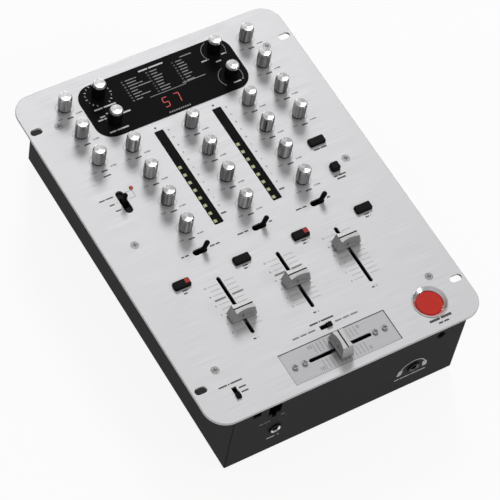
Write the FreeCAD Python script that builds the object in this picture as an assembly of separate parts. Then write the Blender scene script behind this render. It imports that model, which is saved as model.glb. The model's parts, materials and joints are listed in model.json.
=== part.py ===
import FreeCAD, Part
import math
import os

VEC = FreeCAD.Vector
X_AXIS = VEC(1, 0, 0)
Y_AXIS = VEC(0, 1, 0)
Z_AXIS = VEC(0, 0, 1)

# A three channel mixer for disc jockeys. Millimetres, +Z up, front at -Y, origin under the middle of the
# face plate at the height of the surface that the feet stand on.

# Case
PLATE_W = 254.0
PLATE_L = 346.0
PLATE_T = 2.0
PLATE_CORNER_R = 19.0
PLATE_EDGE_R = 0.5
BODY_W = 217.0
BODY_H = 74.3
FRONT_OVERHANG = 1.5
REAR_OVERHANG = 10.5
SHEET_T = 1.2
FLANGE_W = 14.0
REAR_LIP_W = 12.0
SEAM = 0.5
FOOT_H = 5.0
FOOT_D = 18.0
FOOT_TAPER = 1.0
FOOT_INSET = 24.0
FOOT_RECESS_D = 9.0
FOOT_RECESS_H = 3.0

# Gaps between pieces
RUN_GAP = 0.3
FIT_GAP = 0.05
HOLE_GAP = 0.15

# How far cutters reach past the faces that they cut
CUT = 1.0

# Slotted holes in the overhang and screws through the face plate, with their distances from its edges
RACK_SLOT_SIDE = 8.0
RACK_SLOT_END = 36.5
RACK_SLOT_L = 10.8
RACK_SLOT_W = 6.4
PLATE_SCREW_SIDE = 8.5
PLATE_SCREW_FRONT = 47.5
PLATE_SCREW_REAR = 39.5
SCREW_HEAD_D = 6.8
SCREW_HEAD_H = 1.3
SCREW_D = 3.0
SCREW_L = 8.0
SCREW_CROSS_W = 0.9
SCREW_CROSS_L = 3.8
SCREW_CROSS_H = 0.8

# Grid of the controls: the outer columns follow the sides of the body, the rear row the rear of the plate
OUTER_COL_SIDE = 21.5
CHANNEL_GAP = 31.6
FIRST_ROW_Y = 0.5
REAR_ROW_INSET = 25.0
ROW_COUNT = 6

# Knobs and their potentiometers
KNOB_D = 11.6
KNOB_H = 16.2
KNOB_LIFT = 0.8
KNURL_COUNT = 36
KNURL_DEPTH = 0.35
KNOB_SKIRT_H = 1.4
KNOB_RIM_H = 0.6
KNOB_BEVEL_W = 1.0
KNOB_BEVEL_H = 1.5
KNOB_GROOVE = 0.3
KNOB_EDGE = 0.15
KNOB_DISH_H = 0.6
POINTER_W = 0.5
POINTER_L = 2.4
POINTER_H = 0.8
SHAFT_D = 4.0
SHAFT_SOCKET = 9.0
SHAFT_DEPTH = 7.0
BUSH_WALL = 1.1
POT_SIZE = 10.0

# Circuit board under the face plate
BOARD_DROP = 12.5
BOARD_T = 1.6
BOARD_SIDE_GAP = 12.5
BOARD_FRONT_GAP = 49.5
BOARD_REAR_GAP = 6.5

# Effects panel and its display
PANEL_X = -1.2
PANEL_INSET = 12.7
PANEL_W = 144.8
PANEL_L = 56.0
PANEL_T = 0.5
PANEL_CORNER_R = 15.0
DISPLAY_X = -1.8
DISPLAY_DROP = 14.5
DISPLAY_W = 20.0
DISPLAY_L = 14.0
DISPLAY_WALL = 2.5

# Level meters
METER_X = 27.6
METER_FRONT = -7.0
METER_PANEL_GAP = 9.6
METER_W = 8.2
METER_T = 1.6
METER_CORNER_R = 1.0
LED_COUNT = 12
LED_FIRST = 3.3
LED_LAST = 6.55
LED_SIDE = -2.0
LED_SIZE = 2.8
LED_H = 5.0
LED_LEG = 1.6
LAMP_SIDE = 11.7
LAMP_UP = 10.1
LAMP_D = 3.4

# Faders: the caps rest where the photograph shows them, measured from the middle of their travel
FADER_INSET = 92.7
FADER_REST = (-9.9, -1.1, 11.7)
FADER_TRAVEL = 45.0
FADER_SLOT_L = 58.0
FADER_SLOT_W = 3.4
TONGUE_T = 1.4
TONGUE_W = 8.0
CARRIAGE_L = 12.0
CARRIAGE_W = 6.6
CARRIAGE_H = 4.6
TRACK_WALL = 1.4
TRACK_END = 3.0
CAP_LIFT = 1.0
CAP_BASE_L = 22.0
CAP_BASE_W = 10.4
CAP_TOP_L = 17.0
CAP_TOP_W = 9.2
CAP_SKIRT_H = 1.6
CAP_H = 11.9
CAP_RIDGE_H = 0.2
CAP_SCOOP_R = 24.0
CAP_SCOOP_DEPTH = 1.3
CAP_LINE_W = 1.2
CAP_LINE_H = 0.5
CAP_SOCKET_H = 6.0

# Crossfader plate, set into a window of the face plate on a bracket
CROSS_INSET = 22.1
CROSS_PLATE_W = 98.6
CROSS_PLATE_L = 29.6
CROSS_RECESS = 0.6
CROSS_BRACKET_EDGE = 3.4
CROSS_BRACKET_T = 1.5
CROSS_SCREW_INNER_X = 32.8
CROSS_SCREW_OUTER_X = 41.7
CROSS_SCREW_HEAD_D = 4.8
CROSS_SCREW_HEAD_H = 1.2
CROSS_SCREW_D = 2.5
CROSS_SCREW_L = 5.0

# Push buttons
BUTTON_W = 14.6
BUTTON_L = 7.2
BUTTON_RISE = 2.7
BUTTON_CORNER_R = 1.2
BUTTON_EDGE_R = 0.6
BUTTON_TRAVEL = 1.5
BUTTON_FLANGE = 0.8
BUTTON_FLANGE_T = 0.8
BUTTON_STEM = 3.2
BUTTON_STEM_H = 5.0
CUE_BUTTON_X = -29.2
CUE_BUTTON_Y = -45.3
SIDE_BUTTON_SIDE = 22.1
SPLIT_BUTTON_Y = 29.0
TAP_BUTTON_Y = -0.4
TAP_BUTTON_SIZE = 7.4
TAP_BUTTON_RISE = 4.2
LENS_W = 3.6
LENS_L = 4.4
LENS_MARGIN = 0.6
SWITCH_WALL = 2.2
SWITCH_LAP = 1.0

# Toggle levers
TOGGLE_Y = -23.6
TOGGLE_SLOT_L = 13.0
TOGGLE_SLOT_W = 5.6
MIC_TOGGLE_SIDE = 21.1
MIC_TOGGLE_Y = 44.4
MIC_SLOT_L = 23.0
MIC_SLOT_W = 7.0
TOGGLE_TILT = 17.0
TOGGLE_PIVOT = 10.0
TOGGLE_L = 21.5
TOGGLE_NECK_D = 3.2
TOGGLE_TIP_D = 4.4
TOGGLE_BALL_D = 4.6
TOGGLE_BODY_L = 16.0
TOGGLE_BODY_W = 9.0

# Slide switches
REVERSE_UP = 21.9
CURVE_SIDE = 13.6
CURVE_INSET = 22.5
SLIDE_SLOT_L = 11.2
SLIDE_SLOT_W = 4.2
SLIDE_NUB_L = 4.4
SLIDE_NUB_RISE = 2.0
SLIDE_TRAVEL = 5.4
SLIDE_BODY_H = 7.0
SLIDE_FLOOR = 1.2
SLIDE_WALL = 1.6
SLIDE_RIB = 0.5

# Large round effect button
EFFECT_SIDE = 20.9
EFFECT_INSET = 26.6
EFFECT_CAP_D = 22.4
EFFECT_CAP_DROP = 1.4
EFFECT_CAP_H = 2.2
EFFECT_CAP_EDGE_R = 0.5
EFFECT_TRAVEL = 1.2
BEZEL_LIP = 1.1
BEZEL_RISE = 0.8
BEZEL_ROUND = 0.5
BEZEL_FLAT = 0.2
DISH_DEPTH = 2.2
BARREL_WALL = 2.1
BARREL_FLOOR = 0.9

# Sockets in the front wall, with their distance from the side of the body and drop below the plate's top
JACK_BORE_D = 6.4
JACK_BORE_DEPTH = 22.0
JACK_BUSH_D = 9.0
JACK_NUT_D = 11.4
JACK_NUT_T = 1.3
JACK_MOUTH_D = 8.4
JACK_MOUTH_L = 1.0
JACK_BODY_W = 14.0
JACK_BODY_H = 11.0
JACK_BODY_L = 25.0
MIC_JACK_SIDE = 42.8
MIC_JACK_DROP = 45.0
PHONES_JACK_SIDE = 42.6
PHONES_JACK_DROP = 47.5
LINE_JACK_SIDE = 23.1
LINE_JACK_DROP = 12.6
MODULAR_SIDE = 38.3
MODULAR_DROP = 12.4
MODULAR_W = 11.6
MODULAR_H = 12.4
MODULAR_NOTCH_W = 4.2
MODULAR_NOTCH_H = 5.0
MODULAR_DEPTH = 13.0
SQUARE_SIDE = 21.5
SQUARE_DROP = 8.4
SQUARE_SIZE = 7.2
SQUARE_DEPTH = 7.0
SOCKET_WALL = 1.5

# Rear panel, with distances from the sides of the body
PHONO_COLUMNS = 9
PHONO_ROWS = 2
PHONO_SIDE = 20.5
PHONO_ROW_PITCH = 16.0
PHONO_Z = 28.0
PHONO_FLANGE_D = 11.0
PHONO_FLANGE_T = 1.2
PHONO_D = 8.3
PHONO_WALL = 0.6
PHONO_L = 9.0
PHONO_PIN_D = 3.4
PHONO_INSET = 1.0
PHONO_BODY = 12.0
PHONO_FLOOR = 1.0
GROUND_SIDE = 52.5
GROUND_D = 4.0
GROUND_NUT_D = 9.0
GROUND_NUT_T = 5.0
GROUND_TIP = 2.0
INLET_SIDE = 39.5
INLET_Z = 36.0
INLET_D = 8.0
INLET_BORE_D = 5.6
INLET_PIN_D = 2.0
INLET_DEPTH = 9.0
ROCKER_SIDE = 23.5
ROCKER_Z = 36.0
ROCKER_W = 12.6
ROCKER_H = 18.6
ROCKER_T = 6.0
ROCKER_RISE = 2.4
ROCKER_TILT = 8.0
ROCKER_AXLE_D = 2.4
ROCKER_FRAME = 1.6
ROCKER_FRAME_T = 1.0
ROCKER_DEPTH = 14.0
REAR_SCREW_SIDE = 6.5
REAR_SCREW_INSET = 14.0

# Power supply on the floor of the tray
SUPPLY_SIDE_GAP = 18.5
SUPPLY_REAR_GAP = 32.5
SUPPLY_W = 90.0
SUPPLY_L = 70.0
STANDOFF_H = 6.0
STANDOFF_D = 6.0
SUPPLY_INSET = 6.0
CAPACITOR_D = 16.0
CAPACITOR_H = 25.0
SINK_W = 50.0
SINK_T = 12.0
SINK_H = 28.0
SINK_FIN = 2.0

# Levels, walls and places that follow from the sizes above
PLATE_TOP = FOOT_H + BODY_H + PLATE_T
PLATE_UNDER = PLATE_TOP - PLATE_T
BOARD_TOP = PLATE_UNDER - BOARD_DROP
FLOOR_TOP = FOOT_H + SHEET_T
PLATE_FRONT = -PLATE_L / 2
PLATE_REAR = PLATE_L / 2
BODY_FRONT = PLATE_FRONT + FRONT_OVERHANG
BODY_REAR = PLATE_REAR - REAR_OVERHANG
WALL_IN = BODY_FRONT + SHEET_T
REAR_IN = BODY_REAR - SHEET_T
BODY_X = BODY_W / 2
KNOB_BASE = PLATE_TOP + KNOB_LIFT
BUSH_D = SHAFT_D + 2 * (RUN_GAP + BUSH_WALL)
CAP_BASE = PLATE_TOP + CAP_LIFT
CROSS_TOP = PLATE_TOP - CROSS_RECESS
BRACKET_UNDER = PLATE_UNDER - CROSS_BRACKET_T
EFFECT_BORE_D = EFFECT_CAP_D + 2 * (RUN_GAP + HOLE_GAP)
BARREL_D = EFFECT_BORE_D + 2 * BARREL_WALL
BEZEL_D = BARREL_D + 2 * BEZEL_LIP
BARREL_DEPTH = EFFECT_CAP_DROP + EFFECT_CAP_H + EFFECT_TRAVEL + RUN_GAP + BARREL_FLOOR
PIVOT_Z = PLATE_TOP - TOGGLE_PIVOT
RACK_SLOT_X = PLATE_W / 2 - RACK_SLOT_SIDE
RACK_SLOT_Y = PLATE_L / 2 - RACK_SLOT_END
PANEL_Y = PLATE_REAR - PANEL_INSET - PANEL_L / 2
DISPLAY_Y = PANEL_Y - DISPLAY_DROP
METER_L = PANEL_Y - PANEL_L / 2 - METER_PANEL_GAP - METER_FRONT
LED_PITCH = (METER_L - LED_FIRST - LED_LAST) / (LED_COUNT - 1)
FADER_Y = PLATE_FRONT + FADER_INSET
CROSS_Y = PLATE_FRONT + CROSS_INSET
REVERSE_Y = CROSS_Y + REVERSE_UP
CURVE_X = CURVE_SIDE - BODY_X
CURVE_Y = PLATE_FRONT + CURVE_INSET
EFFECT_X = BODY_X - EFFECT_SIDE
EFFECT_Y = PLATE_FRONT + EFFECT_INSET
SIDE_BUTTON_X = BODY_X - SIDE_BUTTON_SIDE
MIC_TOGGLE_X = MIC_TOGGLE_SIDE - BODY_X
LAMP_X = MIC_TOGGLE_X + LAMP_SIDE
LAMP_Y = MIC_TOGGLE_Y + LAMP_UP
MODULAR_X = MODULAR_SIDE - BODY_X
SQUARE_X = SQUARE_SIDE - BODY_X
PHONO_X = PHONO_SIDE - BODY_X
GROUND_X = BODY_X - GROUND_SIDE
PHONO_PITCH = (GROUND_X - PHONO_X) / PHONO_COLUMNS
INLET_X = BODY_X - INLET_SIDE
ROCKER_X = BODY_X - ROCKER_SIDE
REAR_SCREW_X = BODY_X - REAR_SCREW_SIDE
SUPPLY_X = BODY_X - SUPPLY_SIDE_GAP - SUPPLY_W / 2
SUPPLY_Y = BODY_REAR - SUPPLY_REAR_GAP - SUPPLY_L / 2

OUTER_COL_X = BODY_X - OUTER_COL_SIDE
CHANNEL_PITCH = OUTER_COL_X - CHANNEL_GAP
CHANNEL_X = [-CHANNEL_PITCH, 0.0, CHANNEL_PITCH]
ROW_PITCH = (PLATE_REAR - REAR_ROW_INSET - FIRST_ROW_Y) / (ROW_COUNT - 1)
ROWS = [FIRST_ROW_Y + ROW_PITCH * row for row in range(ROW_COUNT)]
BANDS = ["low", "mid", "high", "gain"]

# Names and places of the knobs
KNOBS = {}
for channel, channel_x in enumerate(CHANNEL_X, start=1):
    for row, band in enumerate(BANDS):
        KNOBS["ch%d_%s_knob" % (channel, band)] = (channel_x, ROWS[row])
for row, name in enumerate(["mic_low_knob", "mic_high_knob", "mic_level_knob"], start=3):
    KNOBS[name] = (-OUTER_COL_X, ROWS[row])
for row, name in enumerate(["cue_level_knob", "cue_mix_knob", "booth_knob", "master_knob"], start=2):
    KNOBS[name] = (OUTER_COL_X, ROWS[row])
for row, kind in enumerate(["bank", "select"], start=4):
    KNOBS["fx_%s_knob" % kind] = (-CHANNEL_PITCH, ROWS[row])
for row, kind in enumerate(["depth", "time"], start=4):
    KNOBS["fx_%s_knob" % kind] = (CHANNEL_PITCH, ROWS[row])

# Names, places, widths, lengths and rises of the push buttons
BUTTONS = {}
for channel in range(3):
    place = CUE_BUTTON_X + CHANNEL_PITCH * (channel - 1)
    BUTTONS["ch%d_cue_button" % (channel + 1)] = (place, CUE_BUTTON_Y, BUTTON_W, BUTTON_L, BUTTON_RISE)
BUTTONS["fx_cue_button"] = (SIDE_BUTTON_X, CUE_BUTTON_Y, BUTTON_W, BUTTON_L, BUTTON_RISE)
BUTTONS["split_button"] = (SIDE_BUTTON_X, SPLIT_BUTTON_Y, BUTTON_W, BUTTON_L, BUTTON_RISE)
BUTTONS["tap_button"] = (SIDE_BUTTON_X, TAP_BUTTON_Y, TAP_BUTTON_SIZE, TAP_BUTTON_SIZE, TAP_BUTTON_RISE)

# Names and places of the toggles: those of the channels lean along X, the one at the left along Y
TOGGLES = {"ch%d_source_toggle" % (n + 1): (x, TOGGLE_Y, False) for n, x in enumerate(CHANNEL_X)}
TOGGLES["mic_toggle"] = (MIC_TOGGLE_X, MIC_TOGGLE_Y, True)

# Places and drops of the round jacks in the front wall, and whether they have a nut outside
JACKS = [(MIC_JACK_SIDE - BODY_X, MIC_JACK_DROP, True), (BODY_X - PHONES_JACK_SIDE, PHONES_JACK_DROP, True),
         (BODY_X - LINE_JACK_SIDE, LINE_JACK_DROP, False)]

# Names and places of the slide switches, whether they run along Y, and the end where the nub rests
SLIDES = {"reverse_switch": (0.0, REVERSE_Y, False, 1), "curve_switch": (CURVE_X, CURVE_Y, True, -1)}


# Basic solids
def box(x0, x1, y0, y1, z0, z1):
    return Part.makeBox(x1 - x0, y1 - y0, z1 - z0, VEC(x0, y0, z0))


def block(cx, cy, width, length, z0, z1):
    return box(cx - width / 2, cx + width / 2, cy - length / 2, cy + length / 2, z0, z1)


def post(cx, cy, z0, z1, diameter):
    return Part.makeCylinder(diameter / 2, z1 - z0, VEC(cx, cy, z0))


def rod_y(cx, cz, y0, y1, diameter):
    return Part.makeCylinder(diameter / 2, y1 - y0, VEC(cx, y0, cz), Y_AXIS)


def upright_edges(shape):
    return [edge for edge in shape.Edges if abs(edge.tangentAt(edge.FirstParameter).z) > 0.99]


def edges_at(shape, z):
    return [edge for edge in shape.Edges if all(abs(v.Z - z) < 1e-6 for v in edge.Vertexes)]


def rounded(cx, cy, width, length, z0, z1, radius):
    slab = block(cx, cy, width, length, z0, z1)
    return slab.makeFillet(min(radius, 0.45 * min(width, length)), upright_edges(slab))


def soft_top(shape, z, radius):
    return shape.makeFillet(radius, edges_at(shape, z))


def obround(cx, cy, length, width, z0, z1, along_y=False):
    reach = (length - width) / 2
    if along_y:
        ends = [post(cx, cy + side * reach, z0, z1, width) for side in (-1, 1)]
        middle = block(cx, cy, width, 2 * reach, z0, z1)
    else:
        ends = [post(cx + side * reach, cy, z0, z1, width) for side in (-1, 1)]
        middle = block(cx, cy, 2 * reach, width, z0, z1)
    return middle.multiFuse(ends).removeSplitter()


def turned(points, cx, cy):
    """Solid of revolution about the upright line through cx, cy, from (radius, z) points."""
    corners = [VEC(radius, 0, z) for radius, z in points]
    profile = Part.Face(Part.makePolygon(corners + corners[:1]))
    solid = profile.revolve(VEC(0, 0, 0), Z_AXIS, 360)
    solid.translate(VEC(cx, cy, 0))
    return solid


def moved(shape, x, y, z=0.0):
    copy = shape.copy()
    copy.translate(VEC(x, y, z))
    return copy


def export(name, solids):
    shape = solids[0] if len(solids) == 1 else Part.makeCompound(solids)
    shape.exportStep("parts/%s.step" % name)


# Places that repeat
def corner_places(x, y):
    return [(sx * x, sy * y) for sx in (-1, 1) for sy in (-1, 1)]


def plate_screw_places():
    front = PLATE_FRONT + PLATE_SCREW_FRONT
    rear = PLATE_REAR - PLATE_SCREW_REAR
    rows = [front, (front + rear) / 2, rear]
    return [(side * (BODY_X - PLATE_SCREW_SIDE), y) for side in (-1, 1) for y in rows]


def cross_screw_places():
    offsets = [CROSS_SCREW_INNER_X, CROSS_SCREW_OUTER_X]
    return [(side * x, CROSS_Y) for side in (-1, 1) for x in offsets]


def foot_places():
    middle = (BODY_FRONT + BODY_REAR) / 2
    reach = (BODY_REAR - BODY_FRONT) / 2 - FOOT_INSET
    return [(x, middle + y) for x, y in corner_places(BODY_X - FOOT_INSET, reach)]


def rear_screw_places():
    heights = [FOOT_H + REAR_SCREW_INSET, PLATE_UNDER - REAR_SCREW_INSET]
    return [(side * REAR_SCREW_X, z) for side in (-1, 1) for z in heights]


def meter_middle():
    return METER_FRONT + METER_L / 2


def led_places():
    rows = [METER_FRONT + LED_FIRST + LED_PITCH * n for n in range(LED_COUNT)]
    return [(side * METER_X + LED_SIDE, y) for side in (-1, 1) for y in rows]


def phono_places():
    columns = [PHONO_X + PHONO_PITCH * n for n in range(PHONO_COLUMNS)]
    rows = [PHONO_Z + PHONO_ROW_PITCH * n for n in range(PHONO_ROWS)]
    return [(x, z) for x in columns for z in rows]


# Case
def plate_openings():
    """Cutters through the face plate for everything that passes it."""
    low = PLATE_UNDER - CUT
    high = PLATE_TOP + CUT
    rack_places = corner_places(RACK_SLOT_X, RACK_SLOT_Y)
    cuts = [obround(x, y, RACK_SLOT_L, RACK_SLOT_W, low, high) for x, y in rack_places]
    cuts += [post(x, y, low, high, BUSH_D + 2 * HOLE_GAP) for x, y in KNOBS.values()]
    cuts += [obround(x, FADER_Y, FADER_SLOT_L, FADER_SLOT_W, low, high, True) for x in CHANNEL_X]
    for x, y, width, length, _ in BUTTONS.values():
        size = (width + 2 * RUN_GAP, length + 2 * RUN_GAP)
        cuts.append(rounded(x, y, size[0], size[1], low, high, BUTTON_CORNER_R + RUN_GAP))
    for x, y, along_y in TOGGLES.values():
        size = (MIC_SLOT_L, MIC_SLOT_W) if along_y else (TOGGLE_SLOT_L, TOGGLE_SLOT_W)
        cuts.append(obround(x, y, size[0], size[1], low, high, along_y))
    for x, y, along_y, _ in SLIDES.values():
        size = (SLIDE_SLOT_W, SLIDE_SLOT_L) if along_y else (SLIDE_SLOT_L, SLIDE_SLOT_W)
        cuts.append(block(x, y, size[0], size[1], low, high))
    for side in (-1, 1):
        width = METER_W + 2 * HOLE_GAP
        length = METER_L + 2 * HOLE_GAP
        cuts.append(rounded(side * METER_X, meter_middle(), width, length, low, high, METER_CORNER_R))
    cuts.append(block(DISPLAY_X, DISPLAY_Y, DISPLAY_W + 2 * RUN_GAP, DISPLAY_L + 2 * RUN_GAP, low, high))
    cuts.append(post(LAMP_X, LAMP_Y, low, high, LAMP_D + 2 * HOLE_GAP))
    cuts.append(post(EFFECT_X, EFFECT_Y, low, high, BARREL_D + 2 * HOLE_GAP))
    window = (CROSS_PLATE_W + 2 * HOLE_GAP, CROSS_PLATE_L + 2 * HOLE_GAP)
    cuts.append(block(0, CROSS_Y, window[0], window[1], low, high))
    for x, y in plate_screw_places():
        cuts.append(post(x, y, low, high, SCREW_D + 2 * HOLE_GAP))
        cuts.append(post(x, y, PLATE_TOP - SCREW_HEAD_H, high, SCREW_HEAD_D + 2 * HOLE_GAP))
    return cuts


def face_plate():
    plate = rounded(0, 0, PLATE_W, PLATE_L, PLATE_UNDER, PLATE_TOP, PLATE_CORNER_R)
    plate = soft_top(plate, PLATE_TOP, PLATE_EDGE_R)
    return [plate.cut(plate_openings())]


def front_openings():
    """Cutters through the front wall for the sockets."""
    near = BODY_FRONT - CUT
    far = WALL_IN + CUT
    cuts = [rod_y(x, PLATE_TOP - drop, near, far, JACK_BUSH_D + 2 * HOLE_GAP) for x, drop, _ in JACKS]
    return cuts + modular_space(near, far) + square_space(near, far)


def modular_space(y0, y1):
    middle = PLATE_TOP - MODULAR_DROP
    mouth = box(MODULAR_X - MODULAR_W / 2, MODULAR_X + MODULAR_W / 2, y0, y1,
                middle - MODULAR_H / 2, middle + MODULAR_H / 2)
    notch = box(MODULAR_X - MODULAR_NOTCH_W / 2, MODULAR_X + MODULAR_NOTCH_W / 2, y0, y1,
                middle - MODULAR_H / 2 - MODULAR_NOTCH_H, middle)
    return [mouth, notch]


def square_space(y0, y1):
    middle = PLATE_TOP - SQUARE_DROP
    return [box(SQUARE_X - SQUARE_SIZE / 2, SQUARE_X + SQUARE_SIZE / 2, y0, y1,
                middle - SQUARE_SIZE / 2, middle + SQUARE_SIZE / 2)]


def chassis_tray():
    outer = box(-BODY_X, BODY_X, BODY_FRONT, REAR_IN, FOOT_H, PLATE_UNDER)
    inner_x = BODY_X - SHEET_T
    lip_front = REAR_IN - SHEET_T
    hollow = box(-inner_x, inner_x, WALL_IN, lip_front, FLOOR_TOP, PLATE_UNDER - SHEET_T)
    top_gap = BODY_X - FLANGE_W
    lid = box(-top_gap, top_gap, WALL_IN, lip_front, PLATE_UNDER - SHEET_T - CUT, PLATE_UNDER + CUT)
    rear_gap = BODY_X - REAR_LIP_W
    rear = box(-rear_gap, rear_gap, lip_front - CUT, REAR_IN + CUT, FLOOR_TOP, PLATE_UNDER + CUT)
    cuts = [hollow, lid, rear] + front_openings()
    cuts.append(post(EFFECT_X, EFFECT_Y, PLATE_TOP - BARREL_DEPTH, PLATE_TOP, BARREL_D + 2 * RUN_GAP))
    cuts += [slide_block(x, y, along_y, RUN_GAP) for x, y, along_y, _ in SLIDES.values()]
    for side in (-1, 1):
        cuts.append(block(side * BODY_X, BODY_FRONT, 2 * SEAM, 2 * SEAM, FOOT_H - CUT, PLATE_UNDER + CUT))
    for x, y in plate_screw_places():
        cuts.append(post(x, y, PLATE_UNDER - SHEET_T - CUT, PLATE_UNDER + CUT, SCREW_D + 2 * FIT_GAP))
    for x, y in foot_places():
        cuts.append(post(x, y, FOOT_H - CUT, FLOOR_TOP + CUT, SCREW_D + 2 * FIT_GAP))
    for x, z in rear_screw_places():
        cuts.append(rod_y(x, z, lip_front - CUT, REAR_IN + CUT, SCREW_D + 2 * FIT_GAP))
    return [outer.cut(cuts)]


def rear_panel():
    panel = box(-BODY_X, BODY_X, REAR_IN, BODY_REAR, FOOT_H, PLATE_UNDER)
    near = REAR_IN - CUT
    far = BODY_REAR + CUT
    cuts = [rod_y(x, z, near, far, PHONO_D + 2 * HOLE_GAP) for x, z in phono_places()]
    cuts.append(rod_y(GROUND_X, INLET_Z, near, far, GROUND_D + 2 * HOLE_GAP))
    cuts.append(rod_y(INLET_X, INLET_Z, near, far, INLET_D + 2 * HOLE_GAP))
    cuts.append(rocker_space(near, far, RUN_GAP + ROCKER_FRAME_T))
    cuts += [rod_y(x, z, near, far, SCREW_D + 2 * HOLE_GAP) for x, z in rear_screw_places()]
    return [panel.cut(cuts)]


def rubber_feet():
    feet = []
    for x, y in foot_places():
        foot = Part.makeCone(FOOT_D / 2 - FOOT_TAPER, FOOT_D / 2, FOOT_H, VEC(x, y, 0))
        recess = post(x, y, -CUT, FOOT_RECESS_H, FOOT_RECESS_D)
        bore = post(x, y, 0, FOOT_H + CUT, SCREW_D + 2 * FIT_GAP)
        feet.append(foot.cut([recess, bore]))
    return feet


def crossed(head_x, head_y, top):
    """Cutters for the cross recess in a screw head that faces up."""
    low = top - SCREW_CROSS_H
    return [block(head_x, head_y, SCREW_CROSS_L, SCREW_CROSS_W, low, top + CUT),
            block(head_x, head_y, SCREW_CROSS_W, SCREW_CROSS_L, low, top + CUT)]


def screw(head_d, head_h, shank_d, shank_l):
    """Screw with the underside of its head at the origin, pointing down."""
    head = post(0, 0, 0, head_h, head_d)
    shank = post(0, 0, -shank_l, 0, shank_d)
    return head.fuse(shank).cut(crossed(0, 0, head_h)).removeSplitter()


def case_screws():
    plain = screw(SCREW_HEAD_D, SCREW_HEAD_H, SCREW_D, SCREW_L)
    small = screw(CROSS_SCREW_HEAD_D, CROSS_SCREW_HEAD_H, CROSS_SCREW_D, CROSS_SCREW_L)
    screws = [moved(plain, x, y, PLATE_TOP - SCREW_HEAD_H) for x, y in plate_screw_places()]
    screws += [moved(small, x, y, CROSS_TOP) for x, y in cross_screw_places()]
    upside = plain.copy()
    upside.rotate(VEC(0, 0, 0), X_AXIS, 180)
    screws += [moved(upside, x, y, FOOT_RECESS_H) for x, y in foot_places()]
    outward = plain.copy()
    outward.rotate(VEC(0, 0, 0), X_AXIS, -90)
    screws += [moved(outward, x, BODY_REAR, z) for x, z in rear_screw_places()]
    return screws


# Panels set into or onto the face plate
def effects_panel():
    panel = rounded(PANEL_X, PANEL_Y, PANEL_W, PANEL_L, PLATE_TOP, PLATE_TOP + PANEL_T, PANEL_CORNER_R)
    holes = [post(x, y, PLATE_TOP - CUT, PLATE_TOP + PANEL_T + CUT, BUSH_D + 2 * HOLE_GAP)
             for name, (x, y) in KNOBS.items() if name.startswith("fx_")]
    return [panel.cut(holes)]


def crossfader_plate():
    plate = block(0, CROSS_Y, CROSS_PLATE_W, CROSS_PLATE_L, PLATE_UNDER, CROSS_TOP)
    cuts = [obround(0, CROSS_Y, FADER_SLOT_L, FADER_SLOT_W, PLATE_UNDER - CUT, CROSS_TOP + CUT)]
    cuts += [post(x, y, PLATE_UNDER - CUT, CROSS_TOP + CUT, CROSS_SCREW_D + 2 * HOLE_GAP)
             for x, y in cross_screw_places()]
    return [plate.cut(cuts)]


def meter_lenses():
    lenses = []
    low = PLATE_TOP - METER_T
    hole = LED_SIZE + 2 * HOLE_GAP
    for side in (-1, 1):
        lens = rounded(side * METER_X, meter_middle(), METER_W, METER_L, low, PLATE_TOP, METER_CORNER_R)
        holes = [block(x, y, hole, hole, low - CUT, PLATE_TOP + CUT)
                 for x, y in led_places() if (x - LED_SIDE) * side > 0]
        lenses.append(lens.cut(holes))
    return lenses


def meter_leds():
    lamps = []
    for x, y in led_places():
        lamp = block(x, y, LED_SIZE, LED_SIZE, PLATE_TOP - LED_H, PLATE_TOP)
        leg = block(x, y, LED_LEG, LED_LEG, BOARD_TOP, PLATE_TOP - LED_H)
        lamps.append(lamp.fuse(leg))
    bulb = post(LAMP_X, LAMP_Y, PLATE_TOP - LED_H, PLATE_TOP, LAMP_D)
    dome = Part.makeSphere(LAMP_D / 2, VEC(LAMP_X, LAMP_Y, PLATE_TOP))
    leg = block(LAMP_X, LAMP_Y, LED_LEG, LED_LEG, BOARD_TOP, PLATE_TOP - LED_H)
    lamps.append(bulb.multiFuse([dome, leg]))
    return lamps


def display_module():
    """Two digit display: a face in the window of the plate on a wider housing that stands on the board."""
    face = block(DISPLAY_X, DISPLAY_Y, DISPLAY_W, DISPLAY_L, PLATE_UNDER - RUN_GAP, PLATE_TOP)
    housing = block(DISPLAY_X, DISPLAY_Y, DISPLAY_W + 2 * DISPLAY_WALL, DISPLAY_L + 2 * DISPLAY_WALL,
                    BOARD_TOP, PLATE_UNDER - RUN_GAP)
    return [face.fuse(housing)]


def main_board():
    reach = BODY_X - BOARD_SIDE_GAP
    return [box(-reach, reach, BODY_FRONT + BOARD_FRONT_GAP, BODY_REAR - BOARD_REAR_GAP,
                BOARD_TOP - BOARD_T, BOARD_TOP)]


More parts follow.
